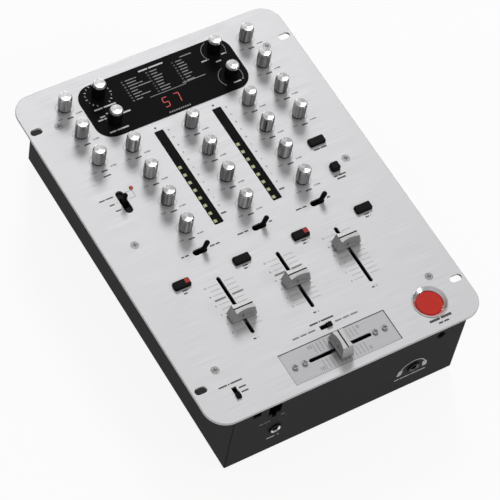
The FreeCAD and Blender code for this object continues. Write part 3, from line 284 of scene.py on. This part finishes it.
def floor_paint():
    """Pale floor that the camera and reflections see nearly white, and that keeps a soft shadow."""
    material = bpy.data.materials.new("floor_paint")
    material.use_nodes = True
    nodes = material.node_tree.nodes
    link = material.node_tree.links.new
    nodes.clear()
    rays = nodes.new("ShaderNodeLightPath")
    seen = rays.outputs["Is Camera Ray"]
    for ray in ("Is Glossy Ray", "Is Transmission Ray"):
        either = nodes.new("ShaderNodeMath")
        either.operation = "MAXIMUM"
        link(seen, either.inputs[0])
        link(rays.outputs[ray], either.inputs[1])
        seen = either.outputs["Value"]
    share = nodes.new("ShaderNodeMath")
    share.operation = "MULTIPLY"
    share.inputs[1].default_value = FLOOR_WHITE
    link(seen, share.inputs[0])
    matt = nodes.new("ShaderNodeBsdfDiffuse")
    matt.inputs["Color"].default_value = (*grey(FLOOR_GREY), 1.0)
    white = nodes.new("ShaderNodeEmission")
    white.inputs["Strength"].default_value = 1.0
    mix = nodes.new("ShaderNodeMixShader")
    link(share.outputs["Value"], mix.inputs["Fac"])
    link(matt.outputs["BSDF"], mix.inputs[1])
    link(white.outputs["Emission"], mix.inputs[2])
    output = nodes.new("ShaderNodeOutputMaterial")
    link(mix.outputs["Shader"], output.inputs["Surface"])
    return material


# Pieces
def piece(name, shape, material, slot, body="chassis"):
    """New object from a bmesh, on a body of the frame."""
    mesh = bpy.data.meshes.new(name)
    shape.to_mesh(mesh)
    shape.free()
    mesh.materials.append(material)
    made = bpy.data.objects.new(name, mesh)
    bpy.context.scene.collection.objects.link(made)
    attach(made, body)


def facing_up(level):
    return Matrix.Translation((0, 0, level * MM)) @ Matrix.Scale(MM, 4)


def facing_front():
    turn = Matrix(((1, 0, 0, 0), (0, 0, -1, FRONT_FACE), (0, 1, 0, 0), (0, 0, 0, 1)))
    return Matrix.Scale(MM, 4) @ turn


def number_mesh(text, height):
    """Closed mesh of a number of the given height in millimetres, centred on its own middle."""
    curve = bpy.data.curves.new("number", "FONT")
    curve.body = text
    curve.align_x = "CENTER"
    curve.align_y = "CENTER"
    curve.size = height * FONT_SCALE
    curve.extrude = (PRINT_LIFT + PRINT_SINK) / 2
    curve.resolution_u = 3
    holder = bpy.data.objects.new("number", curve)
    bpy.context.scene.collection.objects.link(holder)
    bpy.context.view_layer.update()
    mesh = bpy.data.meshes.new_from_object(holder.evaluated_get(bpy.context.evaluated_depsgraph_get()))
    bpy.data.objects.remove(holder)
    return mesh


def on_circle(u, v, radius, angle):
    """Point at an angle in degrees, counted from +u towards +v."""
    angle = math.radians(angle)
    return (u + radius * math.cos(angle), v + radius * math.sin(angle))


class Print:
    """Thin closed prisms of ink on a flat face, drawn in the face's own millimetres."""

    def __init__(self, name, material, placement, slot):
        self.name = name
        self.material = material
        self.placement = placement
        self.slot = slot
        self.mesh = bmesh.new()
        self.numbers = {}

    def polygon(self, points):
        rings = []
        for height in (-PRINT_SINK, PRINT_LIFT):
            rings.append([self.mesh.verts.new(self.placement @ Vector((u, v, height))) for u, v in points])
        low, high = rings
        self.mesh.faces.new(low[::-1])
        self.mesh.faces.new(high)
        for n in range(len(points)):
            after = (n + 1) % len(points)
            self.mesh.faces.new((low[n], low[after], high[after], high[n]))

    def bar(self, u, v, width, height=INK_H):
        """Rectangle around its middle."""
        left, right = u - width / 2, u + width / 2
        low, high = v - height / 2, v + height / 2
        self.polygon([(left, low), (right, low), (right, high), (left, high)])

    def words(self, u, v, widths, height=INK_H, gap=WORD_GAP):
        """Row of bars from left to right, starting at u."""
        for width in widths:
            self.bar(u + width / 2, v, width, height)
            u += width + gap

    def rows(self, table):
        """Rows of bars, each with what words() takes."""
        for row in table:
            self.words(*row)

    def line(self, start, end, width):
        start, end = Vector(start), Vector(end)
        along = (end - start).normalized()
        across = Vector((-along.y, along.x)) * width / 2
        self.polygon([start - across, end - across, end + across, start + across])

    def arc(self, u, v, radius, start, end, width, steps=16):
        """Band along a circle between two angles in degrees."""
        angles = [start + (end - start) * n / steps for n in range(steps + 1)]
        inner, outer = radius - width / 2, radius + width / 2
        for first, last in zip(angles, angles[1:]):
            corners = ((inner, first), (outer, first), (outer, last), (inner, last))
            self.polygon([on_circle(u, v, reach, angle) for reach, angle in corners])

    def dot(self, u, v, diameter, sides=16):
        self.polygon([on_circle(u, v, diameter / 2, 360 * n / sides) for n in range(sides)])

    def number(self, text, u, v, height):
        if (text, height) not in self.numbers:
            self.numbers[(text, height)] = number_mesh(text, height)
        mesh = self.numbers[(text, height)].copy()
        middle = (PRINT_LIFT - PRINT_SINK) / 2
        mesh.transform(self.placement @ Matrix.Translation((u, v, middle)))
        self.mesh.from_mesh(mesh)
        bpy.data.meshes.remove(mesh)

    def finish(self):
        piece(self.name, self.mesh, self.material, self.slot)


# Looks of the frame's own nodes
def dress(names, material):
    for name in names:
        mesh = NODES[name].data
        mesh.materials.clear()
        mesh.materials.append(material)


def paint(name, materials, choose):
    """Gives each face of a node the material whose number choose(centre in mm, normal) returns."""
    mesh = NODES[name].data
    mesh.materials.clear()
    for material in materials:
        mesh.materials.append(material)
    for face in mesh.polygons:
        face.material_index = choose(Vector(face.center) / MM, face.normal)


def light_up(name, material, low, high):
    """Gives the faces of a node that lie between two corners in mm a further material."""
    mesh = NODES[name].data
    mesh.materials.append(material)
    for face in mesh.polygons:
        corners = [mesh.vertices[n].co / MM for n in face.vertices]
        if all(low[n] - TOUCH < corner[n] < high[n] + TOUCH for corner in corners for n in range(3)):
            face.material_index = len(mesh.materials) - 1


def dress_nodes():
    plastic = black_plastic()
    steel = screw_steel()
    smoked = smoked_lens()
    dress(["face_plate"], brushed_aluminium())
    dress(["crossfader_plate"], satin_aluminium())
    dress(["chassis_tray", "rear_panel"], case_paint())
    dress(["effects_panel"], panel_paint())
    dress(["rubber_feet"], rubber())
    dress(["case_screws", "potentiometers"], steel)
    dress(["meter_lenses", "display_module"], smoked)
    dress(["main_board", "power_supply"], circuit_board())
    dress(["switch_bodies", "fader_tracks", "power_inlet", "power_rocker"], plastic)
    dress([name for name in NODES if name.endswith(("_toggle", "_switch"))], plastic)
    dress(["effect_button_housing"], chrome())
    dress(["effect_button"], red_cap())
    dress_knobs(plastic)
    dress_faders(plastic, steel)
    dress_buttons(plastic)
    dress_lamps(smoked)
    dress_front_jacks(plastic)
    dress_rear_jacks()


KNOB_LIFT = 0.8
# Height of the black band painted as contact shade above each silver knob's lift
KNOB_SHADE_BAND = 1.4
KNOB_SHOULDER = 2.3
DISH_TILT = 0.9


def dress_knobs(plastic):
    """Turned metal knobs with a black band painted at the foot as contact shade, those on the effects panel with
    black sides.
    """
    side, top = knob_side(), knob_top()
    for name in KNOBS:
        shoulder = edge(name, 1, 2) - KNOB_SHOULDER
        # Below this the silver knobs get black plastic, painted contact shade at their foot
        shade_band_top = PLATE_TOP + KNOB_LIFT + KNOB_SHADE_BAND
        black_to = shoulder if name in FX_KNOBS else shade_band_top

        def choose(centre, normal, black_to=black_to, shoulder=shoulder):
            if centre.z < black_to:
                return 0
            return 2 if normal.z > DISH_TILT and centre.z > shoulder else 1

        paint(name, [plastic, side, top], choose)


# How far below the cap's top its line goes, and a little over half the line's width
CAP_LINE_H = 0.5
CAP_LINE_HALF = 0.612
CAPS = (("ch1_fader", 1), ("ch2_fader", 1), ("ch3_fader", 1), ("crossfader", 0))


def dress_faders(plastic, steel):
    """Silver caps with a dark line along the ridge, on bright tongues."""
    silver = fader_paint()
    for name, along in CAPS:
        low, high = (Vector(corner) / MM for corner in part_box(name))
        middle = (low[along] + high[along]) / 2
        ridge = high.z - CAP_LINE_H - TOUCH

        def choose(centre, normal, along=along, middle=middle, ridge=ridge):
            if centre.z > ridge and abs(centre[along] - middle) < CAP_LINE_HALF:
                return 1
            return 2 if centre.z < PLATE_TOP else 0

        paint(name, [silver, plastic, steel], choose)


LIT_BUTTONS = ("ch1_cue_button", "ch3_cue_button")
LENS_INSET = 1.4
LENS_W = 3.6
LENS_L = 4.4
LENS_H = 0.6


def dress_buttons(plastic):
    """Black caps, with a red lens in the rear right corner of those that are on."""
    lit = glowing(coloured_plastic("lamp_red", (0.36, 0.02, 0.015)), (0.9, 0.05, 0.03), 0.08)
    dress([name for name in NODES if name.endswith("_button") and name != "effect_button"], plastic)
    for name in LIT_BUTTONS:
        corner = Vector(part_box(name)[1]) / MM - Vector((LENS_INSET, LENS_INSET, 0.0))
        light_up(name, lit, corner - Vector((LENS_W, LENS_L, LENS_H)), corner)


LIT_LEDS = 8
LED_FIRST = -3.7
LED_PITCH = 8.35
LAMP_X = -75.7
LAMP_REACH = 4.0


def dress_lamps(dark):
    """Pale green lamps up to the level that shows, dark ones above, and an orange one by the left toggle."""
    lit = glowing(coloured_plastic("led_lit", (0.37, 0.40, 0.22)), (0.75, 0.80, 0.42), 0.12)
    lamp = glowing(coloured_plastic("lamp_orange", (0.44, 0.10, 0.03)), (0.8, 0.15, 0.04), 0.15)
    last = LED_FIRST + LED_PITCH * (LIT_LEDS - 0.5)

    def choose(centre, normal):
        if abs(centre.x - LAMP_X) < LAMP_REACH:
            return 2
        return 0 if centre.y < last else 1

    paint("meter_leds", [lit, dark, lamp], choose)


BUSH_R = 4.6
BUSH_DEPTH = 0.5


def dress_front_jacks(plastic):
    """Bright ring on the left jack and a dull one on the right jack."""
    rings = {mount["name"]: Vector((mount["pos_m"][0], mount["pos_m"][2])) / MM
             for mount in frame["record"]["mounts"] if mount["name"] in ("mic_jack", "phones_jack")}

    def choose(centre, normal):
        if centre.y > FRONT_FACE + BUSH_DEPTH:
            return 0
        spot = Vector((centre.x, centre.z))
        if (spot - rings["mic_jack"]).length < BUSH_R:
            return 1
        return 2 if (spot - rings["phones_jack"]).length < BUSH_R else 0

    paint("front_jacks", [plastic, chrome(), dull_nickel()], choose)


CORE_R = 3.6
PHONO_FIRST = -88.0
PHONO_PITCH = 16.0
PHONO_ROWS = (28.0, 44.0)


def dress_rear_jacks():
    """Plated phono jacks, with white cores in the upper row and red ones in the lower."""
    gold = gold_plate()
    white = coloured_plastic("core_white", grey(0.7))
    red = coloured_plastic("core_red", (0.5, 0.02, 0.02))

    def choose(centre, normal):
        across = (centre.x - PHONO_FIRST + PHONO_PITCH / 2) % PHONO_PITCH - PHONO_PITCH / 2
        for row, z in enumerate(PHONO_ROWS):
            if centre.y > REAR_FACE and math.hypot(across, centre.z - z) < CORE_R:
                return 2 - row
        return 0

    paint("rear_jacks", [gold, white, red], choose)


# Knob scales: a ring of ticks, a bar for the name and two end marks, placed from the knob's middle
KNOB_SWEEP = 300.0
TICKS_R = 6.9
TICK_L = 0.9
TICK_W = 0.36
TICK_COUNT = 31
NAME_BELOW = 10.8
NAME_W = 5.6
END_MARKS = ((6.4, -8.8, (1.4, 3.6), 1.1, 0.6), (-10.6, -9.2, (1.2, 2.4), 1.0, 0.6))
SECOND_NAME = (-3.9, -16.0, (7.0,))


def dial_direction(step, count):
    """Way from a knob's middle to a mark of its scale, which is open towards the user."""
    return Vector(on_circle(0, 0, 1, 90 + KNOB_SWEEP / 2 - KNOB_SWEEP * step / (count - 1)))


def knob_ticks(fine, place):
    for step in range(TICK_COUNT):
        out = dial_direction(step, TICK_COUNT)
        fine.line(place.xy + out * TICKS_R, place.xy + out * (TICKS_R + TICK_L), TICK_W)


def knob_labels(dark, fine):
    for name, place in KNOBS.items():
        if name in FX_KNOBS:
            continue
        knob_ticks(fine, place)
        dark.bar(place.x, place.y - NAME_BELOW, NAME_W)
        for u, v, *bars in END_MARKS:
            fine.words(place.x + u, place.y + v, *bars)
    place = KNOBS["mic_low_knob"]
    u, v, widths = SECOND_NAME
    dark.words(place.x + u, place.y + v, widths)


# Fader scales: distance from the slot, width and height of the marks
CHANNELS = (-55.4, 0.0, 55.4)
FADER_TRAVEL = 45.0
FADER_PITCH = 4.5
FADER_MIDDLE = -79.5
FADER_STEPS = 11
FADER_MARK = (7.4, 8.8, 0.32)
BROAD_STEP = 7
BROAD_MARK = (8.0, 10.0, 1.7)
FADER_NUMBERS = 14.6
FADER_NUMBER_H = 1.9
CHANNEL_ROW = -114.2
CHANNEL_SPREAD = 1.6
CHANNEL_BAR_W = 2.6
CHANNEL_NUMBER_H = 2.0


def fader_scales(dark, fine):
    """Ticks on both sides of each slot, numbers at the left, a broad mark and the channel's number."""
    for channel, x in enumerate(CHANNELS, start=1):
        for step in range(FADER_STEPS):
            y = FADER_MIDDLE + FADER_PITCH * (step - FADER_STEPS // 2)
            away, width, height = BROAD_MARK if step == BROAD_STEP else FADER_MARK
            for side in (-1, 1):
                fine.bar(x + side * away, y, width, height)
            if step % 2 == 0:
                dark.number(str(step), x - FADER_NUMBERS, y, FADER_NUMBER_H)
        dark.bar(x - CHANNEL_SPREAD, CHANNEL_ROW, CHANNEL_BAR_W)
        dark.number(str(channel), x + CHANNEL_SPREAD, CHANNEL_ROW, CHANNEL_NUMBER_H)


# Meter scales: width and height of the marks
METER_X = 27.6
METER_STEPS = 12
METER_SCALE_X = 8.2
METER_SCALE_Y = LED_FIRST + 4.0
METER_FOOT_LIFT = 0.2
METER_FOOT = (5.0, 1.5)
METER_MARK = (1.6, 1.3)
METER_NUMBER_H = 1.8
METER_DOT = (-1.0, 98.2, 2.0)


def meter_scales(dark, fine):
    """Marks and numbers at the right of each meter, and a dot at its far end."""
    dot_u, dot_v, dot_size = METER_DOT
    for side in (-1, 1):
        x = side * METER_X + METER_SCALE_X
        dark.bar(x, METER_SCALE_Y + METER_FOOT_LIFT, *METER_FOOT)
        for step in range(1, METER_STEPS):
            y = METER_SCALE_Y + LED_PITCH * step
            if step % 2:
                fine.bar(x, y, *METER_MARK)
            else:
                dark.number(str(step), x, y, METER_NUMBER_H)
        dark.dot(side * METER_X + dot_u, dot_v, dot_size)


# Words beside the channel toggles, left and right, and two lines under each long button
TOGGLE_ROW = -23.2
TOGGLE_LEFT = 10.2
TOGGLE_RIGHT = 9.6
TOGGLE_WORDS = (((2.4, 3.4), (4.4, 3.6)), ((5.4, 3.6), (2.8,)), ((5.4, 3.6), (2.8,)))
BUTTONS = (-84.6, -29.2, 26.2, 86.4)
BUTTON_ROWS = (-51.2, -53.8)
BUTTON_BARS = ((0.0, 4.6, 1.2), (-0.9, 3.2, 1.3))
BUTTON_NUMBER = 2.2
BUTTON_NUMBER_H = 1.6

# Rows of bars: left end, place from front to rear, widths, height of the bars and gap
SWITCH_WORDS = ((80.0, 22.0, (5.6, 5.8), 1.5),
                (81.2, -8.2, (3.4, 7.0), 1.4),
                (82.6, -11.2, (8.0,), 1.4),
                (-12.0, -123.3, (7.6, 1.2, 11.4), 1.5),
                (-105.8, -141.3, (7.4, 1.2, 10.6), 1.3),
                (-91.1, -147.4, (6.2,), 1.3),
                (-91.1, -151.6, (6.2,), 1.3),
                (77.0, -163.0, (9.6, 10.0), 2.2, 1.0),
                (83.2, -167.0, (4.2, 4.6), 1.5))
CURVE_WORDS = ((-31.0, -128.6, (6.0, 6.0, 6.6), 1.4, 1.2),
               (8.6, -128.6, (6.0, 6.0, 6.6), 1.4, 1.2))


def toggle_labels(dark):
    for x, (left, right) in zip(CHANNELS, TOGGLE_WORDS):
        length = sum(left) + WORD_GAP * (len(left) - 1)
        dark.words(x - TOGGLE_LEFT - length, TOGGLE_ROW, left)
        dark.words(x + TOGGLE_RIGHT, TOGGLE_ROW, right)


def button_labels(dark):
    for channel, x in enumerate(BUTTONS, start=1):
        for row, (u, width, height) in zip(BUTTON_ROWS, BUTTON_BARS):
            dark.bar(x + u, row, width, height)
        dark.number(str(channel), x + BUTTON_NUMBER, BUTTON_ROWS[1], BUTTON_NUMBER_H)


def switch_labels(dark, fine):
    """Marks beside the toggles, the push buttons and the slide switches."""
    toggle_labels(dark)
    button_labels(dark)
    dark.rows(SWITCH_WORDS)
    fine.rows(CURVE_WORDS)


# Left toggle: three marks, a dot after the lower two, and a bracket to the lamp
MIC_WORDS = ((-106.0, 52.6, (5.2, 6.6), 1.2),
             (-100.1, 45.8, (4.6,), 1.2),
             (-97.9, 39.0, (4.6,), 1.2))
MIC_DOTS = ((-92.8, 45.8), (-92.8, 39.0))
MIC_DOT = 0.7
MIC_BRACKET = (((-82.5, 52.4), (-76.6, 52.4)),
               ((-76.2, 52.6), (-76.2, 45.6)),
               ((-76.0, 45.6), (-82.0, 45.6)))
BRACKET_W = 0.4


def mic_labels(dark, fine):
    dark.rows(MIC_WORDS)
    for u, v in MIC_DOTS:
        dark.dot(u, v, MIC_DOT)
    for start, end in MIC_BRACKET:
        fine.line(start, end, BRACKET_W)


def print_plate():
    dark = Print("plate_print_dark", ink("ink_dark", 0.05), facing_up(PLATE_TOP), "plate_aluminium")
    fine = Print("plate_print_grey", ink("ink_grey", 0.22), facing_up(PLATE_TOP), "plate_aluminium")
    for draw in (knob_labels, fader_scales, meter_scales, switch_labels, mic_labels):
        draw(dark, fine)
    dark.finish()
    fine.finish()


# Printing on the crossfader's plate, with shade painted along its edges
CROSS_SHADE_LINE = 0.3
CROSS_STEPS = 13
CROSS_TICK = (8.2, 0.35, 9.0)
CROSS_NUMBERS = 10.6
CROSS_NUMBER_H = 3.2


def print_crossfader():
    """Dark line painted round the edge as the shade in the gap around the plate, ticks above and below the slot,
    and a number at each end.
    """
    dark = Print("crossfader_print_and_gap_shade", ink("ink_scale_and_gap_shade", 0.14), facing_up(CROSS_TOP), "plate_aluminium")
    low, high = (Vector(corner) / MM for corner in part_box("crossfader_plate"))
    middle = (low + high) / 2
    away, width, height = CROSS_TICK
    for side in (-1, 1):
        # These two bars are painted shade of the gap round the plate's edge, the rest is print
        dark.bar(middle.x, middle.y + side * (high.y - middle.y - CROSS_SHADE_LINE), high.x - low.x, CROSS_SHADE_LINE)
        dark.bar(middle.x + side * (high.x - middle.x - CROSS_SHADE_LINE), middle.y, CROSS_SHADE_LINE, high.y - low.y)
        for step in range(1, CROSS_STEPS):
            x = FADER_TRAVEL * (step / CROSS_STEPS - 0.5)
            dark.bar(x, middle.y + side * away, width, height)
        for text, end in (("10", -0.5), ("0", 0.5)):
            dark.number(text, end * FADER_TRAVEL, middle.y + side * CROSS_NUMBERS, CROSS_NUMBER_H)
    dark.finish()


# White printing on the effects panel: left end and line widths of the list's columns
LIST_TOP = 151.2
LIST_PITCH = 3.0
LIST_NUMBER = 1.3
LIST_NUMBER_H = 1.4
LIST_INDENT = 4.0
LIST_BAR = (0.8, 0.8)
LIST_COLUMNS = ((-32.4, ((8, 2), (9,), (10, 3), (7, 12), (6,), (8,), (5, 9), (6,))),
                (-8.9, ((7,), (6,), (9,), (8,), (7,), (6,), (10,), (9,))),
                (16.0, ((6,), (7,), (8,), (7,), (6,), (8,), (5,), (7,))))
LIST_HEADING = (-13.4, 155.2, (8.6, 13.6), 1.4, 1.2)
LIST_NOTES = ((26.0, 154.2, (11.0,), 0.8), (15.0, 129.2, (22.0,), 0.7))
LIST_BRACKET = (((-17.0, 127.6), (17.5, 127.6)), ((17.3, 127.6), (17.3, 129.4)))
LIST_BRACKET_W = 0.5


def effect_lists(white, soft):
    """Three columns of numbered lines, with a heading and brackets."""
    line_number = 0
    for left, lines in LIST_COLUMNS:
        for row, widths in enumerate(lines):
            y = LIST_TOP - LIST_PITCH * row
            line_number += 1
            soft.number("%02d" % line_number, left + LIST_NUMBER, y, LIST_NUMBER_H)
            soft.words(left + LIST_INDENT, y, widths, *LIST_BAR)
    white.words(*LIST_HEADING)
    soft.rows(LIST_NOTES)
    for start, end in LIST_BRACKET:
        soft.line(start, end, LIST_BRACKET_W)


DIAL_R = 11.2
DIAL_STEPS = 17
DIAL_MARK_HALF = 0.9
DIAL_MARK_W = 0.7
DIAL_NUMBER_H = 1.9


def dial_numbers(white, name):
    """Numbers round a knob, with a mark between each two."""
    for step in range(DIAL_STEPS):
        out = dial_direction(step, DIAL_STEPS)
        spot = KNOBS[name].xy + out * DIAL_R
        if step % 2:
            white.line(spot - out * DIAL_MARK_HALF, spot + out * DIAL_MARK_HALF, DIAL_MARK_W)
        else:
            white.number(str(step // 2), spot.x, spot.y, DIAL_NUMBER_H)


ARC_R = 10.6
ARC_W = 0.45
ARCS = ((105, 215), (-35, 40))
ARROWS = ((215, 1), (-35, -1))
ARROW_ANGLE = 8
ARROW_HALF = 1.0


def turn_arcs(soft, name):
    """Two arcs with arrow heads, one on each side of a knob."""
    place = KNOBS[name]
    for start, end in ARCS:
        soft.arc(place.x, place.y, ARC_R, start, end, ARC_W)
    for angle, turn in ARROWS:
        point = on_circle(place.x, place.y, ARC_R, angle + ARROW_ANGLE * turn)
        radii = (ARC_R - turn * ARROW_HALF, ARC_R + turn * ARROW_HALF)
        soft.polygon([point] + [on_circle(place.x, place.y, radius, angle) for radius in radii])


# Rows of bars beside the panel's knobs, and the row of small marks in front of the display
PANEL_WORDS = ((-66.0, 134.9, (7.6, 11.4), 1.5, 1.2),
               (-68.0, 124.0, (4.8, 2.2), 1.3, 0.8),
               (-64.9, 126.6, (4.6,), 1.3),
               (-58.8, 128.2, (2.0,), 1.0),
               (-45.7, 123.2, (7.4,), 1.5),
               (-65.0, 109.6, (6.0, 10.6), 1.4, 1.0),
               (40.2, 141.6, (5.6,), 1.1),
               (59.6, 142.0, (5.2,), 1.1),
               (51.5, 136.6, (5.0,), 1.3),
               (54.5, 111.2, (7.0,), 1.3))
DISPLAY_MARKS = (-10.05, 107.0, (1.3,) * 10, 1.4, 0.8)


def panel_labels(white, soft):
    dial_numbers(white, "fx_select_knob")
    for name in ("fx_depth_knob", "fx_time_knob"):
        turn_arcs(soft, name)
    white.rows(PANEL_WORDS)
    soft.words(*DISPLAY_MARKS)


# Figures of the display: segments, and the place of each figure's lower left corner
SEGMENTS = {"5": "afgcd", "7": "abc"}
FIGURES = (("5", -10.2, 113.0), ("7", 0.8, 113.0))
DIGIT_W = 4.6
DIGIT_H = 9.6
DIGIT_SLANT = 0.12
SEGMENT_W = 0.75
SEGMENT_TRIM = 0.35


def digit(red, figure, u, v):
    """Seven segment figure with its lower left corner at u, v."""
    half = DIGIT_H / 2
    ends = {"a": ((0, DIGIT_H), (DIGIT_W, DIGIT_H)),
            "b": ((DIGIT_W, DIGIT_H), (DIGIT_W, half)),
            "c": ((DIGIT_W, half), (DIGIT_W, 0)),
            "d": ((DIGIT_W, 0), (0, 0)),
            "f": ((0, half), (0, DIGIT_H)),
            "g": ((0, half), (DIGIT_W, half))}
    for segment in SEGMENTS[figure]:
        start, end = (Vector((u + x + DIGIT_SLANT * y, v + y)) for x, y in ends[segment])
        trim = (end - start).normalized() * SEGMENT_W * SEGMENT_TRIM
        red.line(start + trim, end - trim, SEGMENT_W)


def print_panel():
    white = Print("panel_print_white", ink("ink_white", 0.62), facing_up(PANEL_TOP), "panel_black")
    soft = Print("panel_print_grey", ink("ink_soft", 0.28), facing_up(PANEL_TOP), "panel_black")
    effect_lists(white, soft)
    panel_labels(white, soft)
    white.finish()
    soft.finish()
    glow = glowing(coloured_plastic("digit_red", (0.42, 0.05, 0.04)), (0.85, 0.10, 0.07), 0.3)
    red = Print("display_digits", glow, facing_up(PANEL_TOP), "lens_dark")
    for figure, u, v in FIGURES:
        digit(red, figure, u, v)
    red.finish()


# Light printing on the front wall: an ear pad's corners are the way across, its lean inwards, and the height
SIGN_X = 64.9
SIGN_Z = PLATE_TOP - 49.4
BAND_R = 12.4
BAND_ENDS = (15, 165)
BAND_W = 0.9
BAND_STEPS = 24
PAD = ((-1.2, 0.0, -3.6), (1.2, 0.0, -3.6), (2.3, 0.0, -2.2), (2.1, 0.8, 3.2), (0.8, 0.9, 4.4),
       (-0.8, 0.9, 4.4), (-2.1, 0.8, 3.2), (-2.3, 0.0, -2.2))
SIGN_WORDS = (SIGN_X - 15.6, PLATE_TOP - 58.4, (4.4, 9.6, 14.4))
JACK_WORDS = (-72.0, PLATE_TOP - 57.6, (7.6,))
JACK_DOT = (-61.4, PLATE_TOP - 57.4, 1.6)
FAINT_WORDS = ((-83.0, PLATE_TOP - 28.0, (4.0, 5.2), 1.1), (-63.3, PLATE_TOP - 25.0, (3.4,), 1.1))


def headphone_sign(light):
    """Headband and two ear pads around the jack."""
    light.arc(SIGN_X, SIGN_Z, BAND_R, *BAND_ENDS, BAND_W, BAND_STEPS)
    for side in (-1, 1):
        x = SIGN_X + side * BAND_R
        light.polygon([(x + across - side * lean, SIGN_Z + up) for across, lean, up in PAD])


def print_walls():
    light = Print("front_print_light", ink("ink_light", 0.60), facing_front(), "case_paint")
    headphone_sign(light)
    light.rows((SIGN_WORDS, JACK_WORDS))
    light.dot(*JACK_DOT)
    light.finish()
    faint = Print("front_print_faint", ink("ink_faint", 0.20), facing_front(), "case_paint")
    faint.rows(FAINT_WORDS)
    faint.finish()


# Stage
def direction(heading, elevation):
    """Unit vector of a heading from +Y towards +X and an elevation, in degrees."""
    heading, elevation = math.radians(heading), math.radians(elevation)
    return Vector((math.sin(heading) * math.cos(elevation), math.cos(heading) * math.cos(elevation),
                   math.sin(elevation)))


def camera_matrix():
    roll = math.radians(CAMERA_ROLL)
    forward = direction(CAMERA_HEADING, -CAMERA_ELEVATION)
    level = forward.cross(Vector((0, 0, 1))).normalized()
    upright = level.cross(forward)
    right = level * math.cos(roll) + upright * math.sin(roll)
    up = upright * math.cos(roll) - level * math.sin(roll)
    axes = Matrix((right, up, -forward)).transposed()
    return Matrix.Translation(CAMERA_PLACE * MM) @ axes.to_4x4()


def set_camera():
    data = bpy.data.cameras.new("camera")
    data.lens = CAMERA_LENS
    data.sensor_width = CAMERA_SENSOR
    camera = bpy.data.objects.new("camera", data)
    bpy.context.scene.collection.objects.link(camera)
    camera.matrix_world = camera_matrix()
    bpy.context.scene.camera = camera


def set_lamp(name, heading, elevation, size, power):
    data = bpy.data.lights.new(name, "AREA")
    data.shape = "DISK"
    data.size = size
    data.energy = power
    lamp = bpy.data.objects.new(name, data)
    bpy.context.scene.collection.objects.link(lamp)
    away = direction(heading, elevation)
    turn = away.to_track_quat("Z", "Y").to_matrix().to_4x4()
    lamp.matrix_world = Matrix.Translation(away * LAMP_DISTANCE) @ turn


def set_sky():
    world = bpy.data.worlds.new("sky")
    bpy.context.scene.world = world
    world.use_nodes = True
    nodes = world.node_tree.nodes
    link = world.node_tree.links.new
    place = nodes.new("ShaderNodeTexCoord")
    axes = nodes.new("ShaderNodeSeparateXYZ")
    link(place.outputs["Generated"], axes.inputs["Vector"])
    strength = nodes.new("ShaderNodeMapRange")
    strength.inputs["To Min"].default_value = SKY_EDGE
    strength.inputs["To Max"].default_value = SKY_TOP
    link(axes.outputs["Z"], strength.inputs["Value"])
    sky = nodes["Background"]
    sky.inputs["Color"].default_value = (1.0, 1.0, 1.0, 1.0)
    link(strength.outputs["Result"], sky.inputs["Strength"])


def set_floor():
    mesh = bpy.data.meshes.new("floor")
    half = FLOOR_SIZE / 2
    corners = [(-half, -half, 0), (half, -half, 0), (half, half, 0), (-half, half, 0)]
    mesh.from_pydata(corners, [], [(0, 1, 2, 3)])
    mesh.materials.append(floor_paint())
    floor = bpy.data.objects.new("floor", mesh)
    bpy.context.scene.collection.objects.link(floor)


dress_nodes()
print_plate()
print_crossfader()
print_panel()
print_walls()
set_camera()
set_lamp("back_lamp", LAMP_HEADING, LAMP_ELEVATION, LAMP_SIZE, LAMP_POWER)
set_lamp("front_lamp", FRONT_HEADING, FRONT_ELEVATION, FRONT_SIZE, FRONT_POWER)
set_sky()
set_floor()
bpy.context.scene.view_settings.view_transform = "Standard"
